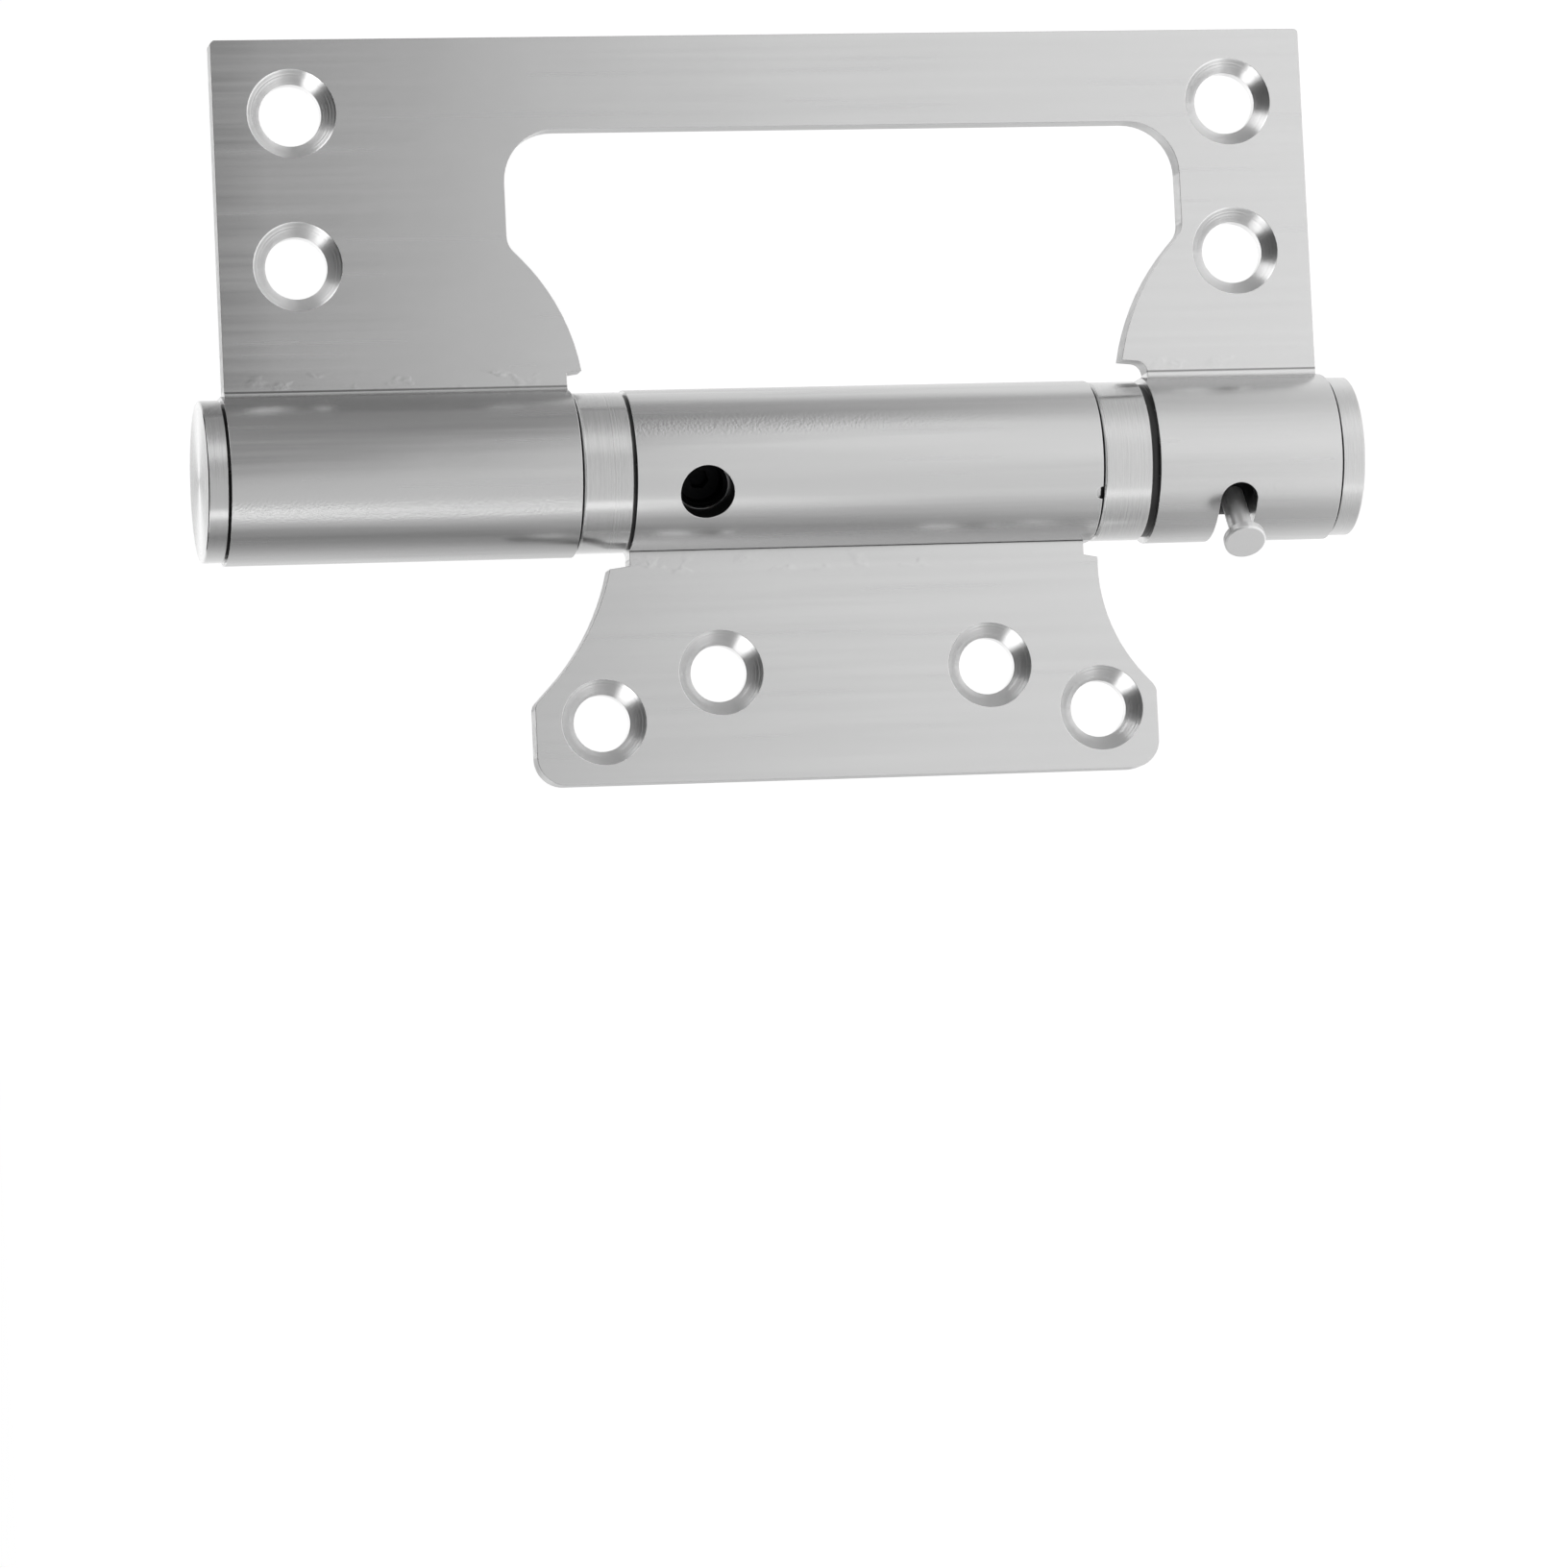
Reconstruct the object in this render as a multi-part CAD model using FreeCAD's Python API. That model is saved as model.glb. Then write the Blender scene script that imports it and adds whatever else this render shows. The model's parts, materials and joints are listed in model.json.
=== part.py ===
import FreeCAD, Part
import math
import os

# A self-closing, soft-closing door hinge whose two leaves nest in one plane.
# The pin axis is Z and the origin is the centre of the lower end cap's face.
# The outer leaf lies on +X and the inner leaf on -X, opened flat to 180 degrees.
# The countersunk faces look along -Y.

# Sheet and barrel
SHEET = 3.0
OUTER_KNUCKLE_RADIUS = 9.4
INNER_KNUCKLE_RADIUS = 9.2
BEND_RADIUS = 2.1
SEAM_SLIT = 0.24
SHADOW_GAP = 0.3

# Lengths along the pin
LEAF_LENGTH = 125.0
KNUCKLE_OVERHANG = 0.5
TRIM_INSET = 0.15
LOWER_KNUCKLE_LENGTH = 21.1
UPPER_KNUCKLE_LENGTH = 39.0
LOWER_RING_LENGTH = 5.55
UPPER_RING_LENGTH = 5.6
LOWER_WASHER_THICKNESS = 0.75
UPPER_WASHER_THICKNESS = 0.3
LOWER_CAP_RIM = 2.5
UPPER_CAP_RIM = 2.2

# Outer leaf
LEAF_REACH = 49.2
BAND_WIDTH = 10.45
UPPER_ARM_WIDTH = 32.4
LOWER_ARM_WIDTH = 14.8
CORNER_RADIUS = 6.0
TIP_RADIUS = 0.5
HORN_WIDTH = 7.8
HORN_REACH = 11.4
HORN_SLOPE = 0.25
SHOULDER_REACH = 25.7
LOWER_SHOULDER_REACH = 26.1
SHOULDER_RADIUS = 2.5
SHOULDER_CHAMFER = 1.5
UPPER_FLANK_ANGLE = 44.0
LOWER_FLANK_ANGLE = 42.0
LOWER_NECK_RELIEF = 0.9
NECK_RADIUS = 1.4

# Inner leaf and the room it has inside the outer leaf
UPPER_NEST_GAP = 0.9
LOWER_NEST_GAP = 5.7
FAR_NEST_GAP = 3.7
INNER_CORNER_RADIUS = 3.2
INNER_SHOULDER_RADIUS = 1.5
INNER_UPPER_CHAMFER = 2.2
INNER_LOWER_CHAMFER = 1.5
INNER_UPPER_FLARE = 9.1
INNER_LOWER_FLARE = 6.1
INNER_NECK_REACH = 10.7
INNER_NECK_RELIEF = 1.0
INNER_SHOULDER_GAP = 0.25
INNER_NECK_TAPER = 0.3
KNUCKLE_NOTCH_RADIUS = 0.75
KNUCKLE_NOTCH_ANGLE = 29.3
KNUCKLE_NOTCH_DEPTH = 1.0

# Screw holes
OUTER_HOLE = 7.0
OUTER_COUNTERSINK = 10.0
OUTER_HOLE_FROM_TOP = 8.8
OUTER_HOLE_FROM_BOTTOM = 8.7
OUTER_HOLE_SPACING_ACROSS = 17.2
OUTER_HOLE_FROM_EDGE = 8.3
INNER_HOLE = 6.4
INNER_COUNTERSINK = 9.6
INNER_NEAR_FROM_EDGE = 12.15
INNER_NEAR_FROM_TOP = 21.2
INNER_NEAR_FROM_BOTTOM = 19.2
INNER_FAR_FROM_EDGE = 6.95
INNER_FAR_FROM_TOP = 7.7
INNER_FAR_FROM_BOTTOM = 6.5
COUNTERSINK_ANGLE = 90.0

# Fits
PRESS_CLEARANCE = 0.04
RUNNING_CLEARANCE = 0.08
AXIAL_CLEARANCE = 0.2
LOOSE_CLEARANCE = 0.3

# Turned pieces of the barrel
CAP_RADIUS = 9.0
RING_RADIUS = 9.0
RING_CHAMFER = 0.35
CAP_CHAMFER = 0.12
SHOULDER_OF_CAP = 1.6
CAP_SPIGOT = 3.2
UPPER_RING_SPIGOT = 4.0
UPPER_RING_TAIL = 3.0
LOWER_RING_SPIGOT = 3.0
LOWER_RING_TAIL = 3.0
SLEEVE_WALL = 0.66
WASHER_RECESS = 0.35

# Tension drum, pin and slot
SLOT_WIDTH = 4.3
SLOT_FROM_KNUCKLE_TOP = 9.3
SLOT_START_ANGLE = 36.7
SLOT_END_ANGLE = 146.8
PIN_ANGLE = 49.0
PIN_RADIUS = 1.35
PIN_HEAD_RADIUS = 2.38
PIN_HEAD_THICKNESS = 1.1
PIN_HEAD_CHAMFER = 0.18
PIN_REACH = 14.1
PIN_HOLES = 6
PIN_HOLE_FLOOR = 3.2
TORSION_POCKET_DEPTH = 4.0

# Torsion spring
SPRING_RADIUS = 4.3
SPRING_WIRE_RADIAL = 1.5
SPRING_WIRE_AXIAL = 2.8
SPRING_COIL_GAP = 1.2
SPRING_LEG = 3.4
SPRING_LEG_WIDTH = 1.5
SPRING_STEPS_PER_TURN = 24

# Key hole and lock screw
KEY_HOLE_RADIUS = 3.05
KEY_HOLE_FROM_TOP = 7.9
KEY_HOLE_ANGLE = 22.4
SLEEVE_HOLE_RADIUS = 2.85
LOCK_SCREW_RADIUS = 2.4
LOCK_SCREW_START = 0.9
LOCK_SCREW_LENGTH = 2.6
LOCK_SCREW_HEX = 1.15

# Damper
SPINDLE_RADIUS = 3.2
SPINDLE_FOOT_LENGTH = 9.8
DRIVE_PIN_RADIUS = 0.75
DRIVE_SLOT_WIDTH = 3.0
DRIVE_SLOT_END = 1.3
DRIVE_SLOT_STEPS = 12
SPINDLE_TIP = 1.8
GLAND_PILOT = 2.0
PISTON_WALL = 1.32
PISTON_CROWN = 3.2
PISTON_SKIRT_BELOW_PIN = 2.0
CYLINDER_WALL = 1.45
KEYWAY_DEPTH = 0.75
PLUG_PILOT = 3.0
PLUG_FLANGE = 3.2
ORING = 1.0
ORING_FLATS = 8
PISTON_SEAL_DEPTH = 0.7
BALL_RADIUS = 1.0
BALL_CLEARANCE = 0.15
BALL_POCKET_DEPTH = 2.4
VALVE_PORT_RADIUS = 0.6
BALL_RETAINER_THICKNESS = 0.4
BLEED_HOLE_RADIUS = 0.35
FILLER_RADIUS = 1.5
FILLER_LENGTH = 3.6
FILLER_HEX = 0.75

# Heights worked out from the stack, from the lower cap's face upward
HALF_SHEET = SHEET / 2
OUTER_BORE = OUTER_KNUCKLE_RADIUS - SHEET
INNER_BORE = INNER_KNUCKLE_RADIUS - SHEET
BARREL_LENGTH = LEAF_LENGTH + 2 * KNUCKLE_OVERHANG
Z_LOWER_KNUCKLE = LOWER_CAP_RIM + SHADOW_GAP
Z_LOWER_KNUCKLE_TOP = Z_LOWER_KNUCKLE + LOWER_KNUCKLE_LENGTH
Z_LOWER_RING = Z_LOWER_KNUCKLE_TOP + LOWER_WASHER_THICKNESS
Z_LOWER_RING_TOP = Z_LOWER_RING + LOWER_RING_LENGTH
Z_MIDDLE = Z_LOWER_RING_TOP + SHADOW_GAP
Z_BARREL_TOP = Z_LOWER_KNUCKLE + BARREL_LENGTH
Z_UPPER_KNUCKLE = Z_BARREL_TOP - UPPER_KNUCKLE_LENGTH
Z_UPPER_RING_TOP = Z_UPPER_KNUCKLE - SHADOW_GAP
Z_UPPER_RING = Z_UPPER_RING_TOP - UPPER_RING_LENGTH
Z_MIDDLE_TOP = Z_UPPER_RING - UPPER_WASHER_THICKNESS
Z_LEAF = Z_LOWER_KNUCKLE + KNUCKLE_OVERHANG
Z_LEAF_TOP = Z_LEAF + LEAF_LENGTH
Z_TOP = Z_BARREL_TOP + SHADOW_GAP + UPPER_CAP_RIM

# Cut-out and nested leaf
CUTOUT_TOP = LEAF_REACH - BAND_WIDTH
Z_CUTOUT_UPPER = Z_LEAF_TOP - UPPER_ARM_WIDTH
Z_CUTOUT_LOWER = Z_LEAF + LOWER_ARM_WIDTH
INNER_REACH = CUTOUT_TOP - FAR_NEST_GAP
Z_INNER_UPPER = Z_CUTOUT_UPPER - UPPER_NEST_GAP
Z_INNER_LOWER = Z_CUTOUT_LOWER + LOWER_NEST_GAP

# Places inside the barrel
Z_CAP_SPIGOT_TOP = Z_LOWER_KNUCKLE + CAP_SPIGOT
Z_UPPER_CAP_SPIGOT = Z_BARREL_TOP - CAP_SPIGOT
Z_DRUM = Z_CAP_SPIGOT_TOP + AXIAL_CLEARANCE
Z_LOWER_TAIL = Z_LOWER_KNUCKLE_TOP - LOWER_RING_TAIL
Z_DRUM_TOP = Z_LOWER_TAIL - AXIAL_CLEARANCE
Z_SLOT = Z_LOWER_KNUCKLE_TOP - SLOT_FROM_KNUCKLE_TOP
Z_KEY_HOLE = Z_MIDDLE_TOP - KEY_HOLE_FROM_TOP
Z_UPPER_TAIL = Z_UPPER_RING - UPPER_RING_TAIL
Z_FOOT_TOP = Z_UPPER_TAIL - AXIAL_CLEARANCE
Z_FOOT = Z_FOOT_TOP - SPINDLE_FOOT_LENGTH
Z_GLAND_TOP = Z_UPPER_KNUCKLE + UPPER_RING_SPIGOT
Z_PILOT_TOP = Z_GLAND_TOP + GLAND_PILOT
Z_PISTON = Z_PILOT_TOP + LOOSE_CLEARANCE
Z_DRIVE_PIN = Z_PISTON + PISTON_SKIRT_BELOW_PIN
Z_PLUG_TOP = Z_UPPER_CAP_SPIGOT
Z_CYLINDER_TOP = Z_PLUG_TOP - PLUG_FLANGE
Z_PLUG = Z_CYLINDER_TOP - PLUG_PILOT

# The piston's travel over half a turn is what its own length leaves free
PISTON_ABOVE_PIN = DRIVE_SLOT_END + SPINDLE_TIP + LOOSE_CLEARANCE + PISTON_CROWN
PISTON_TRAVEL = (Z_PLUG - LOOSE_CLEARANCE - Z_DRIVE_PIN - PISTON_ABOVE_PIN) / 2
Z_SPINDLE_TOP = Z_DRIVE_PIN + PISTON_TRAVEL + DRIVE_SLOT_END + SPINDLE_TIP
Z_CROWN = Z_SPINDLE_TOP + LOOSE_CLEARANCE
Z_PISTON_TOP = Z_CROWN + PISTON_CROWN

Z_PISTON_SEAL = Z_PISTON_TOP - PISTON_CROWN / 2
Z_BALL_SEAT = Z_PISTON_TOP - BALL_POCKET_DEPTH
Z_BALL_RETAINER = Z_PISTON_TOP - BALL_RETAINER_THICKNESS

CYLINDER_OUTER = OUTER_BORE - PRESS_CLEARANCE
CYLINDER_BORE = CYLINDER_OUTER - CYLINDER_WALL
PISTON_RADIUS = CYLINDER_BORE - RUNNING_CLEARANCE
PISTON_BORE = PISTON_RADIUS - PISTON_WALL
PISTON_GROOVE = PISTON_RADIUS - PISTON_SEAL_DEPTH
BALL_POCKET = BALL_RADIUS + BALL_CLEARANCE
SLEEVE_OUTER = INNER_BORE - PRESS_CLEARANCE
SLEEVE_BORE = SLEEVE_OUTER - SLEEVE_WALL
DRUM_RADIUS = OUTER_BORE - RUNNING_CLEARANCE
FOOT_RADIUS = SLEEVE_BORE - PRESS_CLEARANCE
SPINDLE_HOLE = SPINDLE_RADIUS + RUNNING_CLEARANCE
SHOULDER_RADIUS_OF_RINGS = OUTER_BORE + SHOULDER_OF_CAP
WELL_OUTSIDE = 4 * OUTER_KNUCKLE_RADIUS


def vec(x, y, z=0.0):
    return FreeCAD.Vector(x, y, z)


def polar(radius, degrees, z=0.0):
    angle = math.radians(degrees)
    return vec(radius * math.cos(angle), radius * math.sin(angle), z)


def facing(degrees):
    """Direction away from the axis, turned from the front (-Y) towards -X."""
    angle = math.radians(degrees)
    return vec(-math.sin(angle), -math.cos(angle), 0.0)


def line(start, end):
    return Part.LineSegment(start, end).toShape()


def arc(start, middle, end):
    return Part.Arc(start, middle, end).toShape()


def tangent_arc(start, direction, end):
    """The arc that leaves start along direction and arrives at end."""
    heading = vec(*direction)
    heading.normalize()
    chord = end - start
    side = chord - heading * chord.dot(heading)
    side.normalize()
    radius = chord.dot(chord) / (2 * chord.dot(side))
    centre = start + side * radius
    half_way = (start + end) * 0.5 - centre
    half_way.normalize()
    return arc(start, centre + half_way * abs(radius), end)


def rounded_path(points):
    """Edges through (point, radius) pairs, with an arc of that radius at each."""
    edges = []
    last = points[0][0]
    for index in range(1, len(points) - 1):
        corner, radius = points[index]
        into = corner - points[index - 1][0]
        away = points[index + 1][0] - corner
        into.normalize()
        away.normalize()
        turn = into.getAngle(away)
        if radius < 1e-6 or turn < 1e-6:
            edges.append(line(last, corner))
            last = corner
            continue
        setback = radius * math.tan(turn / 2)
        first = corner - into * setback
        second = corner + away * setback
        bisector = away - into
        bisector.normalize()
        reach = radius / math.cos(turn / 2) - radius
        edges.append(line(last, first))
        edges.append(arc(first, corner + bisector * reach, second))
        last = second
    edges.append(line(last, points[-1][0]))
    return edges


def prism(edges, direction):
    wire = Part.Wire(Part.__sortEdges__(edges))
    return Part.Face(wire).extrude(direction)


def rod(radius, bottom, top):
    return Part.makeCylinder(radius, top - bottom, vec(0, 0, bottom))


def radial_rod(radius, inner, outer, degrees, z):
    """A rod along a radius of the barrel, from one distance to another."""
    direction = facing(degrees)
    start = direction * inner + vec(0, 0, z)
    return Part.makeCylinder(radius, outer - inner, start, direction)


def cross_rod(radius, half_length, z):
    """A rod through the pin axis, along X."""
    return Part.makeCylinder(radius, 2 * half_length, vec(-half_length, 0, z), vec(1, 0, 0))


def turned(profile):
    """A solid of revolution about the pin from (radius, height) corners."""
    corners = [vec(radius, 0, height) for radius, height in profile]
    wire = Part.makePolygon(corners + corners[:1])
    return Part.Face(wire).revolve(vec(0, 0, 0), vec(0, 0, 1), 360)


def o_ring(inner, outer, z):
    """A seal between two radii; its round section is drawn with a few flats."""
    section = (outer - inner) / 2
    middle = inner + section
    flats = []
    for corner in range(ORING_FLATS):
        angle = 2 * math.pi * corner / ORING_FLATS
        flats.append((middle + section * math.cos(angle), z + section * math.sin(angle)))
    return turned(flats)


def hex_socket(radius, depth, mouth, direction):
    """A hexagonal prism that goes into a screw's face."""
    axis = vec(*direction)
    turn = FreeCAD.Rotation(vec(0, 0, 1), axis)
    points = [polar(radius, 60 * corner) for corner in range(6)]
    points = [mouth + turn.multVec(point) for point in points]
    wire = Part.makePolygon(points + points[:1])
    return Part.Face(wire).extrude(axis * -depth)


def rolled_sheet(radius, reach, bottom, top):
    """Leaf and knuckle in section: flat, joggled, then rolled over the front.

    The leaf's middle plane passes through the pin axis. A bend at the root
    lifts the sheet onto the knuckle's circle, and the rolled end comes round
    to the leaf's back, where a thin slit is left.
    """
    bore = radius - SHEET
    middle = radius - HALF_SHEET
    bend_x = math.sqrt((middle + BEND_RADIUS) ** 2 - BEND_RADIUS ** 2)
    bend_turn = math.degrees(math.atan2(BEND_RADIUS, bend_x))
    bend_centre = vec(bend_x, -BEND_RADIUS, bottom)
    end_y = HALF_SHEET + SEAM_SLIT
    end_outer = vec(math.sqrt(radius ** 2 - end_y ** 2), end_y, bottom)
    end_inner = vec(math.sqrt(bore ** 2 - end_y ** 2), end_y, bottom)
    fillet = BEND_RADIUS - HALF_SHEET
    back = BEND_RADIUS + HALF_SHEET
    half_way = 135 - bend_turn / 2
    front_root = vec(bend_x, -HALF_SHEET, bottom)
    back_root = vec(bend_x, HALF_SHEET, bottom)
    front_tip = vec(reach, -HALF_SHEET, bottom)
    back_tip = vec(reach, HALF_SHEET, bottom)
    front_join = polar(radius, -bend_turn, bottom)
    back_join = polar(bore, -bend_turn, bottom)
    edges = [
        line(front_tip, front_root),
        arc(front_root, bend_centre + polar(fillet, half_way), front_join),
        arc(front_join, polar(radius, 180, bottom), end_outer),
        line(end_outer, end_inner),
        arc(end_inner, polar(bore, 180, bottom), back_join),
        arc(back_join, bend_centre + polar(back, half_way), back_root),
        line(back_root, back_tip),
        line(back_tip, front_tip),
    ]
    return prism(edges, vec(0, 0, top - bottom))


def flat(x, z):
    """A point of a leaf's outline, well in front of the sheet."""
    return vec(x, -WELL_OUTSIDE, z)


def leaning(side_x, side_z, degrees):
    """A direction in the leaf's plane at an angle to X, on the sides given by the signs."""
    angle = math.radians(degrees)
    return side_x * math.cos(angle), 0, side_z * math.sin(angle)


def countersunk_hole(x, z, hole, rim):
    """Screw hole: a straight hole and a cone that opens at the front face."""
    spread = math.tan(math.radians(COUNTERSINK_ANGLE / 2))
    depth = (rim - hole) / 2 / spread
    front = vec(x, -HALF_SHEET - depth, z)
    axis = vec(0, 1, 0)
    outer_rim = rim / 2 + depth * spread
    cone = Part.makeCone(outer_rim, hole / 2, 2 * depth, front, axis)
    drill = Part.makeCylinder(hole / 2, 2 * SHEET, vec(x, -SHEET, z), axis)
    return drill.fuse(cone)


def flank_start(corner, chamfer, slope):
    """Where a shoulder's straight chamfer, along slope, turns into the flank."""
    return corner + vec(*slope) * (chamfer / abs(slope[0]))


def horn(z_side, neck_z, shoulder, angle, up):
    """One end of the cut-out: neck, horn tip, swept flank and shoulder corner.

    up is +1 for the upper end of the cut-out and -1 for the lower one.
    """
    tip = flat(HORN_REACH, z_side - up * HORN_WIDTH)
    neck = flat(HORN_REACH - HORN_SLOPE, neck_z)
    corner = flat(shoulder, z_side)
    slope = leaning(-1, -up, angle)
    return neck, tip, flank_start(corner, SHOULDER_CHAMFER, slope), corner, slope


def cutout():
    """The opening that the inner leaf nests in, with the barrel gap beside it."""
    relieved = Z_LOWER_KNUCKLE_TOP - LOWER_NECK_RELIEF
    upper = horn(Z_CUTOUT_UPPER, Z_UPPER_KNUCKLE, SHOULDER_REACH, UPPER_FLANK_ANGLE, 1)
    lower = horn(Z_CUTOUT_LOWER, relieved, LOWER_SHOULDER_REACH, LOWER_FLANK_ANGLE, -1)
    neck_u, tip_u, flank_u, corner_u, slope_u = upper
    neck_l, tip_l, flank_l, corner_l, slope_l = lower
    knuckle_x = OUTER_KNUCKLE_RADIUS - TRIM_INSET
    frame = [
        (flank_u, 0),
        (corner_u, SHOULDER_RADIUS),
        (flat(CUTOUT_TOP, Z_CUTOUT_UPPER), CORNER_RADIUS),
        (flat(CUTOUT_TOP, Z_CUTOUT_LOWER), CORNER_RADIUS),
        (corner_l, SHOULDER_RADIUS),
        (flank_l, 0),
    ]
    edges = rounded_path(frame)
    edges.append(tangent_arc(flank_u, slope_u, tip_u))
    edges.append(tangent_arc(flank_l, slope_l, tip_l))
    edges += rounded_path([
        (tip_u, 0),
        (neck_u, 0),
        (flat(-WELL_OUTSIDE, Z_UPPER_KNUCKLE), 0),
        (flat(-WELL_OUTSIDE, Z_LOWER_KNUCKLE_TOP), 0),
        (flat(knuckle_x, Z_LOWER_KNUCKLE_TOP), 0),
        (flat(knuckle_x, relieved), 0),
        (neck_l, NECK_RADIUS),
        (tip_l, 0),
    ])
    return prism(edges, vec(0, 2 * WELL_OUTSIDE, 0))


def pin_slot():
    """The slot that the tension pin travels in, cut round the lower knuckle."""
    inner = OUTER_BORE - HALF_SHEET
    outer = OUTER_KNUCKLE_RADIUS + HALF_SHEET
    half = SLOT_WIDTH / 2
    start = facing(SLOT_END_ANGLE)
    corners = [start * inner, start * outer]
    section = [
        corners[0] + vec(0, 0, Z_SLOT - half),
        corners[1] + vec(0, 0, Z_SLOT - half),
        corners[1] + vec(0, 0, Z_SLOT + half),
        corners[0] + vec(0, 0, Z_SLOT + half),
    ]
    face = Part.Face(Part.makePolygon(section + section[:1]))
    sweep = face.revolve(vec(0, 0, 0), vec(0, 0, 1), SLOT_END_ANGLE - SLOT_START_ANGLE)
    ends = [radial_rod(half, inner, outer, angle, Z_SLOT) for angle in (SLOT_START_ANGLE, SLOT_END_ANGLE)]
    return sweep.fuse(ends)


def outer_leaf():
    blank = rolled_sheet(OUTER_KNUCKLE_RADIUS, LEAF_REACH, Z_LOWER_KNUCKLE, Z_BARREL_TOP)
    trim_start = OUTER_KNUCKLE_RADIUS - TRIM_INSET
    trim_width = 2 * LEAF_REACH
    trim_depth = 2 * WELL_OUTSIDE
    below = vec(trim_start, -WELL_OUTSIDE, Z_LEAF - trim_depth)
    above = vec(trim_start, -WELL_OUTSIDE, Z_LEAF_TOP)
    ends = [Part.makeBox(trim_width, trim_depth, trim_depth, corner) for corner in (below, above)]
    blank = blank.cut(ends)
    box = blank.BoundBox
    tips = [edge for edge in blank.Edges if edge.BoundBox.XMin > box.XMax - TIP_RADIUS]
    tips = [edge for edge in tips if edge.BoundBox.YLength > HALF_SHEET]
    blank = blank.makeFillet(TIP_RADIUS, tips)
    cutters = [cutout(), pin_slot()]
    for z in (Z_LEAF_TOP - OUTER_HOLE_FROM_TOP, Z_LEAF + OUTER_HOLE_FROM_BOTTOM):
        far = LEAF_REACH - OUTER_HOLE_FROM_EDGE
        for x in (far, far - OUTER_HOLE_SPACING_ACROSS):
            cutters.append(countersunk_hole(x, z, OUTER_HOLE, OUTER_COUNTERSINK))
    return blank.cut(cutters)


def inner_outline():
    """The inner leaf's blank, seen from the front, with the knuckle at +X."""
    shoulder = SHOULDER_REACH + INNER_SHOULDER_GAP
    tip_x = -INNER_NECK_REACH - INNER_NECK_TAPER
    upper_tip = flat(tip_x, Z_INNER_UPPER - INNER_UPPER_FLARE)
    lower_tip = flat(tip_x, Z_INNER_LOWER + INNER_LOWER_FLARE)
    upper_slope = leaning(1, -1, UPPER_FLANK_ANGLE)
    lower_slope = leaning(1, 1, LOWER_FLANK_ANGLE)
    upper_corner = flat(-shoulder, Z_INNER_UPPER)
    lower_corner = flat(-shoulder, Z_INNER_LOWER)
    upper_flank = flank_start(upper_corner, INNER_UPPER_CHAMFER, upper_slope)
    lower_flank = flank_start(lower_corner, INNER_LOWER_CHAMFER, lower_slope)
    frame = [
        (upper_flank, 0),
        (upper_corner, INNER_SHOULDER_RADIUS),
        (flat(-INNER_REACH, Z_INNER_UPPER), INNER_CORNER_RADIUS),
        (flat(-INNER_REACH, Z_INNER_LOWER), INNER_CORNER_RADIUS),
        (lower_corner, INNER_SHOULDER_RADIUS),
        (lower_flank, 0),
    ]
    edges = rounded_path(frame)
    edges.append(tangent_arc(upper_flank, upper_slope, upper_tip))
    edges.append(tangent_arc(lower_flank, lower_slope, lower_tip))
    neck_z = Z_MIDDLE + INNER_NECK_RELIEF
    knuckle_x = TRIM_INSET - INNER_KNUCKLE_RADIUS
    edges += rounded_path([
        (upper_tip, 0),
        (flat(-INNER_NECK_REACH, Z_MIDDLE_TOP), 0),
        (flat(WELL_OUTSIDE, Z_MIDDLE_TOP), 0),
        (flat(WELL_OUTSIDE, Z_MIDDLE), 0),
        (flat(knuckle_x, Z_MIDDLE), 0),
        (flat(knuckle_x, neck_z), 0),
        (flat(-INNER_NECK_REACH, neck_z), 0),
        (lower_tip, 0),
    ])
    return prism(edges, vec(0, 2 * WELL_OUTSIDE, 0))


def inner_leaf():
    blank = rolled_sheet(INNER_KNUCKLE_RADIUS, INNER_REACH, Z_INNER_LOWER, Z_INNER_UPPER)
    blank.rotate(vec(0, 0, 0), vec(0, 0, 1), 180)
    leaf = blank.common(inner_outline())
    notch_floor = INNER_KNUCKLE_RADIUS - KNUCKLE_NOTCH_DEPTH
    cutters = [
        radial_rod(KEY_HOLE_RADIUS, 0, WELL_OUTSIDE, KEY_HOLE_ANGLE, Z_KEY_HOLE),
        radial_rod(KNUCKLE_NOTCH_RADIUS, notch_floor, WELL_OUTSIDE, KNUCKLE_NOTCH_ANGLE, Z_MIDDLE),
    ]
    rows = (
        (INNER_NEAR_FROM_EDGE, INNER_NEAR_FROM_TOP, INNER_NEAR_FROM_BOTTOM),
        (INNER_FAR_FROM_EDGE, INNER_FAR_FROM_TOP, INNER_FAR_FROM_BOTTOM),
    )
    for from_edge, from_top, from_bottom in rows:
        for z in (Z_INNER_UPPER - from_top, Z_INNER_LOWER + from_bottom):
            cutters.append(countersunk_hole(from_edge - INNER_REACH, z, INNER_HOLE, INNER_COUNTERSINK))
    return leaf.cut(cutters)


def end_cap(face_z, rim, inward):
    """A turned cap with a chamfered face, a shadow gap and a pressed spigot.

    inward is +1 where the barrel lies above the cap and -1 where it lies below.
    """
    under_rim = face_z + inward * rim
    seat = under_rim + inward * SHADOW_GAP
    spigot_end = seat + inward * CAP_SPIGOT
    spigot = OUTER_BORE - PRESS_CLEARANCE
    edge = face_z + inward * CAP_CHAMFER
    lead = spigot_end - inward * RING_CHAMFER
    return turned([
        (0, face_z),
        (CAP_RADIUS - CAP_CHAMFER, face_z),
        (CAP_RADIUS, edge),
        (CAP_RADIUS, under_rim),
        (SHOULDER_RADIUS_OF_RINGS, under_rim),
        (SHOULDER_RADIUS_OF_RINGS, seat),
        (spigot, seat),
        (spigot, lead),
        (spigot - RING_CHAMFER, spigot_end),
        (0, spigot_end),
    ])


def thrust_washer(bottom, thickness, hole):
    disc = rod(RING_RADIUS - WASHER_RECESS, bottom, bottom + thickness)
    return disc.cut(rod(hole, bottom, bottom + thickness))


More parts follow.
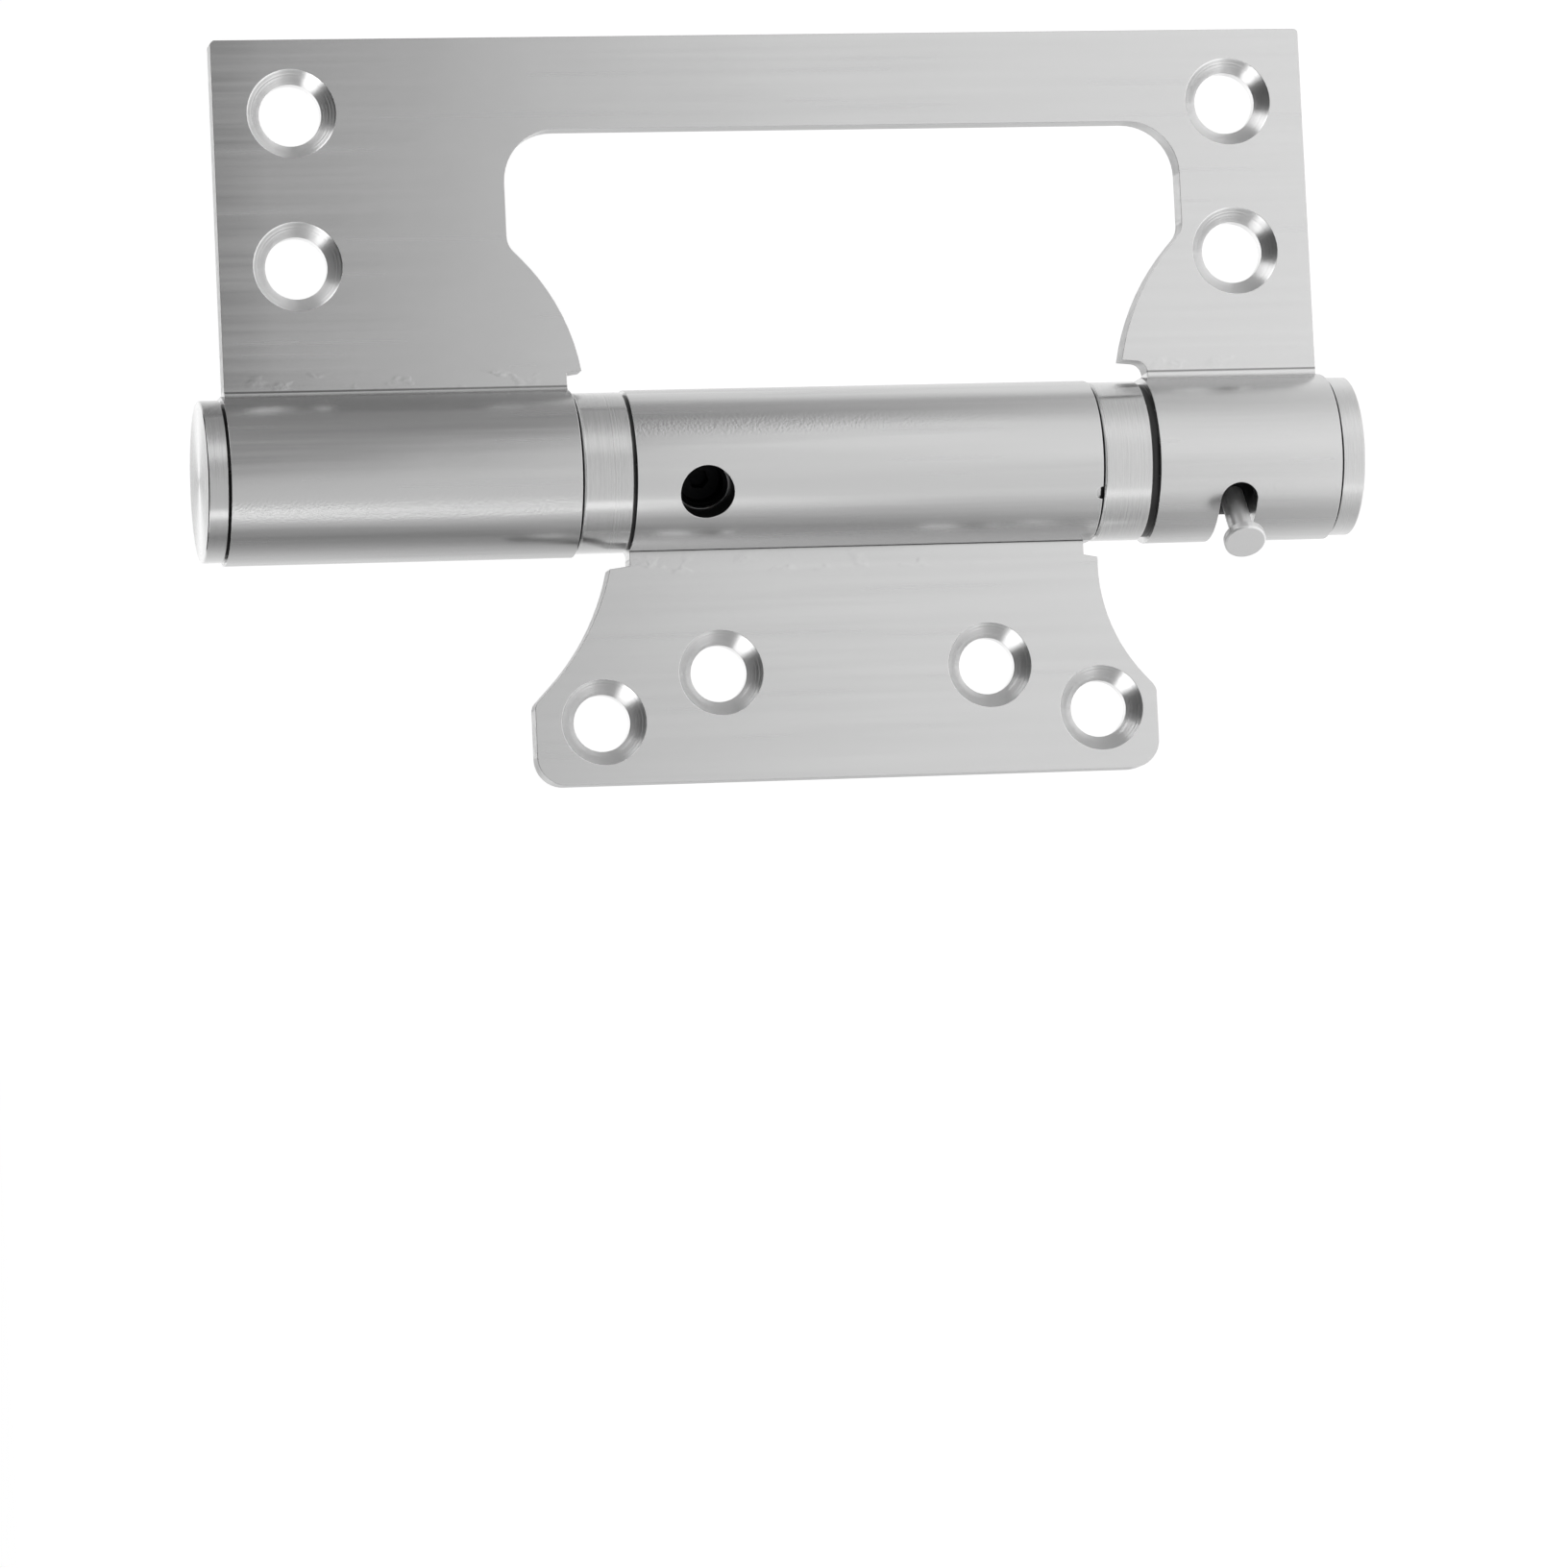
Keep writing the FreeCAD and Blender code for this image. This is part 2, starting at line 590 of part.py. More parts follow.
def lower_bearing_ring():
    """Collar under the middle knuckle: pressed in above, running below."""
    tail = OUTER_BORE - RUNNING_CLEARANCE
    spigot = INNER_BORE - PRESS_CLEARANCE
    ease = RING_CHAMFER / 2
    return turned([
        (SLEEVE_BORE, Z_LOWER_TAIL),
        (tail, Z_LOWER_TAIL),
        (tail, Z_LOWER_RING),
        (RING_RADIUS - ease, Z_LOWER_RING),
        (RING_RADIUS, Z_LOWER_RING + ease),
        (RING_RADIUS, Z_LOWER_RING_TOP - ease),
        (RING_RADIUS - ease, Z_LOWER_RING_TOP),
        (SHOULDER_RADIUS_OF_RINGS, Z_LOWER_RING_TOP),
        (SHOULDER_RADIUS_OF_RINGS, Z_MIDDLE),
        (spigot, Z_MIDDLE),
        (spigot, Z_MIDDLE + LOWER_RING_SPIGOT),
        (SLEEVE_BORE, Z_MIDDLE + LOWER_RING_SPIGOT),
    ])


def upper_bearing_ring():
    """Collar above the middle knuckle; its bored neck is the damper's gland."""
    tail = INNER_BORE - RUNNING_CLEARANCE
    spigot = OUTER_BORE - PRESS_CLEARANCE
    pilot = CYLINDER_BORE - PRESS_CLEARANCE
    ease = RING_CHAMFER / 2
    seal_z = Z_GLAND_TOP - ORING
    half = ORING / 2 + PRESS_CLEARANCE
    pilot_seal_z = Z_GLAND_TOP + GLAND_PILOT / 2
    return turned([
        (SPINDLE_HOLE, Z_UPPER_TAIL),
        (tail, Z_UPPER_TAIL),
        (tail, Z_UPPER_RING),
        (RING_RADIUS - ease, Z_UPPER_RING),
        (RING_RADIUS, Z_UPPER_RING + ease),
        (RING_RADIUS, Z_UPPER_RING_TOP - ease),
        (RING_RADIUS - ease, Z_UPPER_RING_TOP),
        (SHOULDER_RADIUS_OF_RINGS, Z_UPPER_RING_TOP),
        (SHOULDER_RADIUS_OF_RINGS, Z_UPPER_KNUCKLE),
        (spigot, Z_UPPER_KNUCKLE),
        (spigot, Z_GLAND_TOP),
        (pilot, Z_GLAND_TOP),
        (pilot, pilot_seal_z - half),
        (CYLINDER_BORE - ORING, pilot_seal_z - half),
        (CYLINDER_BORE - ORING, pilot_seal_z + half),
        (pilot, pilot_seal_z + half),
        (pilot, Z_PILOT_TOP),
        (SPINDLE_HOLE, Z_PILOT_TOP),
        (SPINDLE_HOLE, seal_z + half),
        (SPINDLE_RADIUS + ORING, seal_z + half),
        (SPINDLE_RADIUS + ORING, seal_z - half),
        (SPINDLE_HOLE, seal_z - half),
    ])


def shaft_seal():
    inner = SPINDLE_RADIUS + RUNNING_CLEARANCE / 2
    return o_ring(inner, SPINDLE_RADIUS + ORING, Z_GLAND_TOP - ORING)


def gland_seal():
    return o_ring(CYLINDER_BORE - ORING, CYLINDER_BORE, Z_GLAND_TOP + GLAND_PILOT / 2)


def spring_sleeve():
    """Liner of the middle knuckle, between the lower ring and the upper one."""
    bottom = Z_MIDDLE + LOWER_RING_SPIGOT
    tube = rod(SLEEVE_OUTER, bottom, Z_FOOT_TOP).cut(rod(SLEEVE_BORE, bottom, Z_FOOT_TOP))
    return tube.cut(radial_rod(SLEEVE_HOLE_RADIUS, 0, WELL_OUTSIDE, KEY_HOLE_ANGLE, Z_KEY_HOLE))


def leg_pocket(side, bottom, depth):
    """The pocket that takes one straight leg of the torsion spring.

    side is +1 or -1: the leg's side of the plane where the coil starts and ends.
    """
    width = SPRING_WIRE_RADIAL + 2 * RUNNING_CLEARANCE
    across = SPRING_LEG_WIDTH + 2 * RUNNING_CLEARANCE
    centre_y = side * SPRING_LEG_WIDTH / 2
    corner = vec(SPRING_RADIUS - width / 2, centre_y - across / 2, bottom)
    return Part.makeBox(width, across, depth, corner)


def tension_drum():
    """Drum that winds the spring; a ring of pin holes lets it be turned."""
    body = turned([
        (0, Z_DRUM),
        (DRUM_RADIUS - RING_CHAMFER, Z_DRUM),
        (DRUM_RADIUS, Z_DRUM + RING_CHAMFER),
        (DRUM_RADIUS, Z_DRUM_TOP - RING_CHAMFER),
        (DRUM_RADIUS - RING_CHAMFER, Z_DRUM_TOP),
        (0, Z_DRUM_TOP),
    ])
    pin_hole = PIN_RADIUS + RUNNING_CLEARANCE
    cutters = [leg_pocket(-1, Z_DRUM_TOP - TORSION_POCKET_DEPTH, TORSION_POCKET_DEPTH)]
    for hole in range(PIN_HOLES):
        angle = PIN_ANGLE + hole * 360 / PIN_HOLES
        cutters.append(radial_rod(pin_hole, PIN_HOLE_FLOOR, WELL_OUTSIDE, angle, Z_SLOT))
    return body.cut(cutters)


def tension_pin():
    """Headed pin in one of the drum's holes, standing out through the slot."""
    under_head = PIN_REACH - PIN_HEAD_THICKNESS
    shank = radial_rod(PIN_RADIUS, PIN_HOLE_FLOOR, under_head, PIN_ANGLE, Z_SLOT)
    head = radial_rod(PIN_HEAD_RADIUS, under_head, PIN_REACH, PIN_ANGLE, Z_SLOT)
    rim_edges = [edge for edge in head.Edges if isinstance(edge.Curve, Part.Circle)]
    head = head.makeChamfer(PIN_HEAD_CHAMFER, rim_edges)
    return head.fuse(shank).removeSplitter()


def turned_section(across, along, radius, turn, z):
    """A rectangle on a half plane through the pin, turned round it and lifted."""
    corners = [
        vec(radius - across / 2, 0, -along / 2),
        vec(radius + across / 2, 0, -along / 2),
        vec(radius + across / 2, 0, along / 2),
        vec(radius - across / 2, 0, along / 2),
    ]
    section = Part.makePolygon(corners + corners[:1])
    section.rotate(vec(0, 0, 0), vec(0, 0, 1), turn)
    section.translate(vec(0, 0, z))
    return section


def torsion_spring():
    """Flat-wire coil with a straight leg at each end of its full turns."""
    bottom = Z_DRUM_TOP + AXIAL_CLEARANCE
    top = Z_FOOT - AXIAL_CLEARANCE
    rise = top - bottom - SPRING_WIRE_AXIAL
    turns = math.floor(rise / (SPRING_WIRE_AXIAL + SPRING_COIL_GAP))
    steps = turns * SPRING_STEPS_PER_TURN
    first = bottom + SPRING_WIRE_AXIAL / 2
    sections = []
    for step in range(steps + 1):
        share = step / steps
        sections.append(turned_section(SPRING_WIRE_RADIAL, SPRING_WIRE_AXIAL, SPRING_RADIUS,
                                       360 * turns * share, first + rise * share))
    coil = Part.makeLoft(sections, True, True)
    inner = SPRING_RADIUS - SPRING_WIRE_RADIAL / 2
    leg_height = SPRING_LEG + AXIAL_CLEARANCE + SPRING_WIRE_AXIAL
    lower_leg = Part.makeBox(SPRING_WIRE_RADIAL, SPRING_LEG_WIDTH, leg_height,
                             vec(inner, -SPRING_LEG_WIDTH, Z_DRUM_TOP - SPRING_LEG))
    upper_leg = Part.makeBox(SPRING_WIRE_RADIAL, SPRING_LEG_WIDTH, leg_height,
                             vec(inner, 0, Z_FOOT + SPRING_LEG - leg_height))
    return coil.fuse([lower_leg, upper_leg])


def drive_slot():
    """The slot through the spindle, twisting half a turn over the travel."""
    length = PISTON_TRAVEL + 2 * DRIVE_SLOT_END
    sections = []
    for step in range(DRIVE_SLOT_STEPS + 1):
        height = length * step / DRIVE_SLOT_STEPS - DRIVE_SLOT_END
        turn = -180 * height / PISTON_TRAVEL
        half_length = SPINDLE_RADIUS + LOOSE_CLEARANCE
        half_width = DRIVE_SLOT_WIDTH / 2
        corners = [
            vec(-half_length, -half_width, 0),
            vec(half_length, -half_width, 0),
            vec(half_length, half_width, 0),
            vec(-half_length, half_width, 0),
        ]
        section = Part.makePolygon(corners + corners[:1])
        section.rotate(vec(0, 0, 0), vec(0, 0, 1), turn)
        section.translate(vec(0, 0, Z_DRIVE_PIN + height))
        sections.append(section)
    return Part.makeLoft(sections, True, False)


def damper_spindle():
    """Foot in the sleeve, stem through the gland, helical slot at the top."""
    foot = rod(FOOT_RADIUS, Z_FOOT, Z_FOOT_TOP)
    stem = rod(SPINDLE_RADIUS, Z_FOOT_TOP, Z_SPINDLE_TOP)
    lock_hole = LOCK_SCREW_RADIUS + PRESS_CLEARANCE
    cutters = [
        drive_slot(),
        radial_rod(lock_hole, LOCK_SCREW_START, WELL_OUTSIDE, KEY_HOLE_ANGLE, Z_KEY_HOLE),
        leg_pocket(1, Z_FOOT, TORSION_POCKET_DEPTH),
    ]
    return foot.fuse(stem).cut(cutters)


def lock_screw():
    """Socket grub screw deep in the spindle's foot, reached by the key hole."""
    end = LOCK_SCREW_START + LOCK_SCREW_LENGTH
    body = radial_rod(LOCK_SCREW_RADIUS, LOCK_SCREW_START, end, KEY_HOLE_ANGLE, Z_KEY_HOLE)
    direction = facing(KEY_HOLE_ANGLE)
    mouth = direction * end + vec(0, 0, Z_KEY_HOLE)
    socket = hex_socket(LOCK_SCREW_HEX, LOCK_SCREW_LENGTH / 2, mouth, direction)
    return body.cut(socket)


def damper_cylinder():
    """Oil cylinder, with two keyways that stop the piston from turning."""
    tube = rod(CYLINDER_OUTER, Z_GLAND_TOP, Z_CYLINDER_TOP)
    tube = tube.cut(rod(CYLINDER_BORE, Z_GLAND_TOP, Z_CYLINDER_TOP))
    width = 2 * (DRIVE_PIN_RADIUS + RUNNING_CLEARANCE)
    span = 2 * (CYLINDER_BORE + KEYWAY_DEPTH)
    top = Z_DRIVE_PIN + PISTON_TRAVEL + PISTON_SKIRT_BELOW_PIN
    keyway = Part.makeBox(span, width, top - Z_PILOT_TOP, vec(-span / 2, -width / 2, Z_PILOT_TOP))
    return tube.cut(keyway)


def damper_piston():
    """Cup over the spindle's tip, with a valve seat and a bleed in its crown."""
    half = ORING / 2
    body = turned([
        (PISTON_BORE, Z_PISTON),
        (PISTON_RADIUS, Z_PISTON),
        (PISTON_RADIUS, Z_PISTON_SEAL - half),
        (PISTON_GROOVE, Z_PISTON_SEAL - half),
        (PISTON_GROOVE, Z_PISTON_SEAL + half),
        (PISTON_RADIUS, Z_PISTON_SEAL + half),
        (PISTON_RADIUS, Z_PISTON_TOP),
        (BALL_POCKET, Z_PISTON_TOP),
        (BALL_POCKET, Z_BALL_SEAT),
        (VALVE_PORT_RADIUS, Z_BALL_SEAT),
        (VALVE_PORT_RADIUS, Z_CROWN),
        (PISTON_BORE, Z_CROWN),
    ])
    pin_hole = cross_rod(DRIVE_PIN_RADIUS, PISTON_RADIUS, Z_DRIVE_PIN)
    bleed = rod(BLEED_HOLE_RADIUS, Z_CROWN, Z_PISTON_TOP)
    bleed.translate(vec((BALL_POCKET + PISTON_GROOVE) / 2, 0, 0))
    return body.cut([pin_hole, bleed])


def drive_pin():
    return cross_rod(DRIVE_PIN_RADIUS, CYLINDER_BORE + KEYWAY_DEPTH - LOOSE_CLEARANCE, Z_DRIVE_PIN)


def piston_seal():
    half = ORING / 2
    outer = CYLINDER_BORE - RUNNING_CLEARANCE / 2
    return turned([
        (PISTON_GROOVE, Z_PISTON_SEAL - half),
        (outer, Z_PISTON_SEAL - half),
        (outer, Z_PISTON_SEAL + half),
        (PISTON_GROOVE, Z_PISTON_SEAL + half),
    ])


def check_ball():
    """The ball rests on the rim of the valve port."""
    height = math.sqrt(BALL_RADIUS ** 2 - VALVE_PORT_RADIUS ** 2)
    return Part.makeSphere(BALL_RADIUS, vec(0, 0, Z_BALL_SEAT + height))


def ball_retainer():
    disc = rod(BALL_POCKET, Z_BALL_RETAINER, Z_PISTON_TOP)
    return disc.cut(rod(VALVE_PORT_RADIUS, Z_BALL_RETAINER, Z_PISTON_TOP))


def cylinder_plug():
    """Top of the oil cylinder, with a seal groove and the filler's hole."""
    pilot = CYLINDER_BORE - PRESS_CLEARANCE
    seal_z = Z_PLUG + PLUG_PILOT / 2
    half = ORING / 2 + PRESS_CLEARANCE
    body = turned([
        (BLEED_HOLE_RADIUS, Z_PLUG),
        (pilot, Z_PLUG),
        (pilot, seal_z - half),
        (CYLINDER_BORE - ORING, seal_z - half),
        (CYLINDER_BORE - ORING, seal_z + half),
        (pilot, seal_z + half),
        (pilot, Z_CYLINDER_TOP),
        (CYLINDER_OUTER, Z_CYLINDER_TOP),
        (CYLINDER_OUTER, Z_PLUG_TOP),
        (FILLER_RADIUS + PRESS_CLEARANCE, Z_PLUG_TOP),
        (FILLER_RADIUS + PRESS_CLEARANCE, Z_PLUG_TOP - FILLER_LENGTH),
        (BLEED_HOLE_RADIUS, Z_PLUG_TOP - FILLER_LENGTH),
    ])
    return body


def plug_seal():
    return o_ring(CYLINDER_BORE - ORING, CYLINDER_BORE, Z_PLUG + PLUG_PILOT / 2)


def filler_screw():
    top = Z_PLUG_TOP - LOOSE_CLEARANCE
    body = rod(FILLER_RADIUS, Z_PLUG_TOP - FILLER_LENGTH, top)
    return body.cut(hex_socket(FILLER_HEX, FILLER_LENGTH / 2, vec(0, 0, top), (0, 0, 1)))


def build():
    nodes = {
        "outer_leaf": outer_leaf(),
        "lower_end_cap": end_cap(0.0, LOWER_CAP_RIM, 1),
        "upper_end_cap": end_cap(Z_TOP, UPPER_CAP_RIM, -1),
        "lower_thrust_washer": thrust_washer(Z_LOWER_KNUCKLE_TOP, LOWER_WASHER_THICKNESS,
                                             OUTER_BORE + LOOSE_CLEARANCE),
        "upper_thrust_washer": thrust_washer(Z_MIDDLE_TOP, UPPER_WASHER_THICKNESS,
                                             INNER_BORE + LOOSE_CLEARANCE),
        "upper_bearing_ring": upper_bearing_ring(),
        "lower_bearing_ring": lower_bearing_ring(),
        "shaft_seal": shaft_seal(),
        "gland_seal": gland_seal(),
        "damper_cylinder": damper_cylinder(),
        "cylinder_plug": cylinder_plug(),
        "plug_seal": plug_seal(),
        "filler_screw": filler_screw(),
        "inner_leaf": inner_leaf(),
        "spring_sleeve": spring_sleeve(),
        "damper_spindle": damper_spindle(),
        "lock_screw": lock_screw(),
        "torsion_spring": torsion_spring(),
        "damper_piston": damper_piston(),
        "drive_pin": drive_pin(),
        "piston_seal": piston_seal(),
        "check_ball": check_ball(),
        "ball_retainer": ball_retainer(),
        "tension_drum": tension_drum(),
        "tension_pin": tension_pin(),
    }
    os.makedirs("parts", exist_ok=True)
    for name, shape in nodes.items():
        shape.exportStep(os.path.join("parts", name + ".step"))
    return nodes


NODES = build()
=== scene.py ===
"""A soft-close door hinge laid open: its finishes, edges, light and camera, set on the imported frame."""

import json
import math

import bpy
from mathutils import Matrix, Vector


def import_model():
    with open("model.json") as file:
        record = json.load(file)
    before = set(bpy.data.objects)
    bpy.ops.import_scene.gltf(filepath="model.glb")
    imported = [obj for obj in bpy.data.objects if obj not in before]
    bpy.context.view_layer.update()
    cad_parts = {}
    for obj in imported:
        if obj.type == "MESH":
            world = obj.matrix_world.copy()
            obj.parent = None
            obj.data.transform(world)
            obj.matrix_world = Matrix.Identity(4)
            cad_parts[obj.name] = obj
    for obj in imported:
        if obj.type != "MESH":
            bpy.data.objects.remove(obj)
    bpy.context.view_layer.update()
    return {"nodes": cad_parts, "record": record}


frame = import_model()

MM = 0.001

# The camera of the photograph: the picture's left end is the hinge's upper end, so the frame is rolled.
CAMERA_PLACE = (-0.09579, -0.78313, 0.22178)
CAMERA_RIGHT = (-0.046394, -0.190310, -0.980627)
CAMERA_UP = (0.996083, -0.082784, -0.031060)
CAMERA_REACH = 50.0
SENSOR_WIDTH = 36.0
LENS = 163.968

# The studio: a pale floor under the hung hinge, and a light tent whose wall is graded from panel to panel.
FLOOR_HEIGHT = -0.35
FLOOR_HALF_WIDTH = 6.0
FLOOR_LIFT = 0.35
FLOOR_GLOSSY_LIFT = 0.4
TENT_RADIUS = 1.0
TENT_TOP = 0.75
TENT_PANELS = 96
SURROUND_LIGHT = 0.75
SOFTBOX_SIZE = 0.5
HINGE_MIDDLE = (0.0, 0.0, 0.065)


def linear(colour):
    """An sRGB hex colour as linear RGBA."""
    shares = [int(colour[place:place + 2], 16) / 255 for place in (1, 3, 5)]
    return tuple(s / 12.92 if s <= 0.04045 else ((s + 0.055) / 1.055) ** 2.4 for s in shares) + (1.0,)


MATH = "ShaderNodeMath"
VECTOR = "ShaderNodeVectorMath"
RANGE = "ShaderNodeMapRange"
MIX = "ShaderNodeMix"
SEPARATE = "ShaderNodeSeparateXYZ"
COMBINE = "ShaderNodeCombineXYZ"
PRINCIPLED = "ShaderNodeBsdfPrincipled"
TRANSFORM = "ShaderNodeVectorTransform"

# A mix node's inputs by number: its share, and the two floats or the two colours between which it lies.
SHARE = 0
FLOATS = (2, 3)
COLOURS = (6, 7)
MIXED_COLOUR = 2


def add(tree, kind, inputs=(), **settings):
    """A new node with its settings; its inputs, in a row or by name, are linked or set."""
    made = tree.nodes.new(kind)
    for name, value in settings.items():
        setattr(made, name, value)
    for key, value in inputs.items() if isinstance(inputs, dict) else enumerate(inputs):
        if isinstance(value, bpy.types.Node):
            value = value.outputs[0]
        if isinstance(value, bpy.types.NodeSocket):
            tree.links.new(value, made.inputs[key])
        else:
            made.inputs[key].default_value = value
    return made


def new_material(name):
    """An empty node material and its tree."""
    material = bpy.data.materials.new(name)
    material.use_nodes = True
    material.node_tree.nodes.clear()
    return material, material.node_tree


# Finishes

# A size so long that a pattern stays the same along its axis.
ENDLESS = 1.0
# The values between which most of a noise lies.
NOISE_SPREAD = (0.3, 0.7)

# Belt lines are finer than a pixel, so they are drawn as coarse as they need to show.
BRUSH_LINES = (0.2 * MM, 0.2 * MM, 14.0 * MM)
BRUSH_DEPTH = 0.0011 * MM
BRUSH_DIRECTION = (0.02, 0.02, 1.0)
BRUSH_ANISOTROPY = 0.6
BRUSH_TURN = 0.25
BLOTCHES = (1.0 * MM, 1.0 * MM, 5.0 * MM)
BLOTCH_DEPTH = 0.006 * MM
WAVES = (16.0 * MM, 16.0 * MM, 24.0 * MM)
WAVE_DEPTH = 0.05 * MM
GLOSS_STREAKS = (0.9 * MM, 0.9 * MM, 40.0 * MM)
LEAF_ROUGHNESS = (0.2, 0.28)
WORN_EDGE = 0.1 * MM

# Where a leaf's sheet is the barrel, where it is flat, and how far forward the barrel's front begins.
FLAT_START = 9.0 * MM
FLAT_WHOLE = 11.0 * MM
FLAT_FROM = 9.9 * MM
FRONT_FROM = -1.0 * MM

# Bending roughens the steel on the knuckles, which sparkle in a band where they catch the light.
ORANGE_PEEL = (0.24 * MM, 0.24 * MM, 0.34 * MM)
PEEL_HALF = 2.0 * MM
# In the photograph the lower end sparkles less: the peel is whole above one height, and fades to its
# least share below the other.
PEEL_FROM = 30.0 * MM
PEEL_FULL = 60.0 * MM
PEEL_LEAST = 0.15
# Depth of the peel and the x of its middle, on each leaf's knuckles.
PEEL = {"outer": (0.03 * MM, -4.3 * MM), "inner": (0.018 * MM, 4.3 * MM)}

# The bending tool scuffs the sheet in patches, in a narrow strip beside the bend.
SCUFFS = (0.35 * MM, 0.35 * MM, 0.7 * MM)
SCUFF_DEPTH = 0.022 * MM
SCUFF_PATCHES = (2.0 * MM, ENDLESS, 4.0 * MM)
SCUFF_SPREAD = (0.55, 0.65)
SCUFF_STRIP = (11.9 * MM, 11.2 * MM)

# Near its upper edge the outer leaf's shade changes in the photograph, drawn as a slight roll-off.
ROLL_OFF_FROM = 122.5 * MM
ROLL_OFF_TO = 129.0 * MM
ROLL_OFF_DEPTH = 0.065 * MM

# A face is sheared where less than this share of its normal points to the sheet's front or back.
SHEARED_FACING = 0.5
SHEAR_LINES = (0.2 * MM, 3.0 * MM, 0.2 * MM)
SHEAR_DEPTH = 0.005 * MM
SHEAR_ROUGHER = 0.14

# Countersunk holes as x and z, and each cone's rim radius, in millimetres.
COUNTERSINKS = {
    "outer": (5.0, [(40.9, 119.5), (40.9, 12.0), (23.7, 119.5), (23.7, 12.0)]),
    "inner": (4.8, [(-22.9, 73.8), (-22.9, 43.0), (-28.1, 87.3), (-28.1, 30.3)]),
}
# Outside every rim the distance from a hole's axis is nothing; the flat faces lie squarer than this cosine.
HOLE_AXIS = 0.1 * MM
FLAT_FACING = 0.95
# The countersink's feed marks are finer than a pixel, so they are drawn as coarse as they need to show.
TOOL_LINES = (0.26 * MM, ENDLESS, ENDLESS)
TOOL_DEPTH = 0.045 * MM
CONE_ROUGHNESS = 0.28

# The line that the bending die leaves beside an outer knuckle, as its x at two heights, and its half width.
DIE_LINE_LOW = (10.02 * MM, 24.0 * MM)
DIE_LINE_HIGH = (9.7 * MM, 90.0 * MM)
DIE_LINE_HALF = 0.2 * MM
DIE_LINE_DEPTH = 0.012 * MM
# The x of the crease, down to which the strip beside the die line is rougher and painted lighter as a
# highlight.
CREASE = 9.25 * MM
STRIP_ROUGHNESS = 0.42

# The round key hole in the middle knuckle: its angle from the front, its height and radius, the radius
# inside which its wall lies, and the roughness of the painted shade on that wall.
KEY_HOLE_ANGLE = math.radians(22.4)
KEY_HOLE_HEIGHT = 75.7 * MM
KEY_HOLE_WALL = 3.09 * MM
KEY_HOLE_OUTSIDE = 9.05 * MM
KEY_HOLE_SHADE_ROUGHNESS = 0.45


def texture(tree, place, sizes, detail=2.0):
    """Noise whose blots have their own size along each axis."""
    spaced = add(tree, VECTOR, (place, [1 / size for size in sizes]), operation="MULTIPLY")
    return add(tree, "ShaderNodeTexNoise", {"Vector": spaced, "Scale": 1.0, "Detail": detail})


def surface_normal(tree, relief, rounding):
    """The normal with edges rounded off and a relief, as (pattern, depth) pairs, laid on it."""
    height = 0.0
    for pattern, depth in relief:
        height = add(tree, MATH, (pattern, depth, height), operation="MULTIPLY_ADD")
    rounded = add(tree, "ShaderNodeBevel", {"Radius": rounding}, samples=6)
    laid = {"Strength": 1.0, "Distance": 1.0, "Height": height, "Normal": rounded}
    return add(tree, "ShaderNodeBump", laid)


def mixed_colour(tree, share, colours):
    """A colour that lies between two."""
    inputs = {SHARE: share, **dict(zip(COLOURS, colours))}
    return add(tree, MIX, inputs, data_type="RGBA").outputs[MIXED_COLOUR]


def countersink_rings(tree, place, facing, leaf):
    """One inside a cone, and the distance from its hole's axis."""
    rim, centres = COUNTERSINKS[leaf]
    flat = add(tree, VECTOR, (place, (1.0, 0.0, 1.0)), operation="MULTIPLY")
    offset = (0.0, 0.0, 0.0)
    for x, z in centres:
        away = add(tree, VECTOR, (flat, (x * MM, 0.0, z * MM)), operation="SUBTRACT")
        radius = add(tree, VECTOR, (away,), operation="LENGTH").outputs["Value"]
        inside = add(tree, MATH, (radius, rim * MM), operation="LESS_THAN")
        offset = add(tree, VECTOR, (away, inside, offset), operation="MULTIPLY_ADD")
    radius = add(tree, VECTOR, (offset,), operation="LENGTH").outputs["Value"]
    in_cone = add(tree, MATH, (radius, HOLE_AXIS), operation="GREATER_THAN")
    slanted = add(tree, MATH, (facing, FLAT_FACING), operation="LESS_THAN")
    return add(tree, MATH, (in_cone, slanted), operation="MULTIPLY"), radius


def peel_depth(tree, leaf, x, z, front):
    """How deep the bend's roughness is: deepest along one band of the knuckles' front, less further down."""
    deepest, middle = PEEL[leaf]
    away = add(tree, MATH, (x, middle), operation="SUBTRACT")
    away = add(tree, MATH, (away,), operation="ABSOLUTE")
    depth = add(tree, RANGE, (away, 0.0, PEEL_HALF, deepest, 0.0), interpolation_type="SMOOTHSTEP")
    depth = add(tree, MATH, (depth, front), operation="MULTIPLY")
    kept = add(tree, RANGE, (z, PEEL_FROM, PEEL_FULL, PEEL_LEAST, 1.0))
    return add(tree, MATH, (depth, kept), operation="MULTIPLY")


def scuff_depth(tree, place, from_pin, flat):
    """How deep the scuffs are: patches in the strip beside the bend."""
    strip = add(tree, RANGE, (from_pin, *SCUFF_STRIP))
    strip = add(tree, MATH, (strip, flat), operation="MULTIPLY")
    patches = add(tree, RANGE, (texture(tree, place, SCUFF_PATCHES), *SCUFF_SPREAD))
    depth = add(tree, MATH, (strip, patches), operation="MULTIPLY")
    return add(tree, MATH, (depth, SCUFF_DEPTH), operation="MULTIPLY")


def sheared_faces(tree, facing, from_pin, outside_cone):
    """One on the sheet's cut edges."""
    off_barrel = add(tree, MATH, (from_pin, FLAT_FROM), operation="GREATER_THAN")
    sheared = add(tree, MATH, (facing, SHEARED_FACING), operation="LESS_THAN")
    sheared = add(tree, MATH, (sheared, off_barrel), operation="MULTIPLY")
    return add(tree, MATH, (sheared, outside_cone), operation="MULTIPLY")


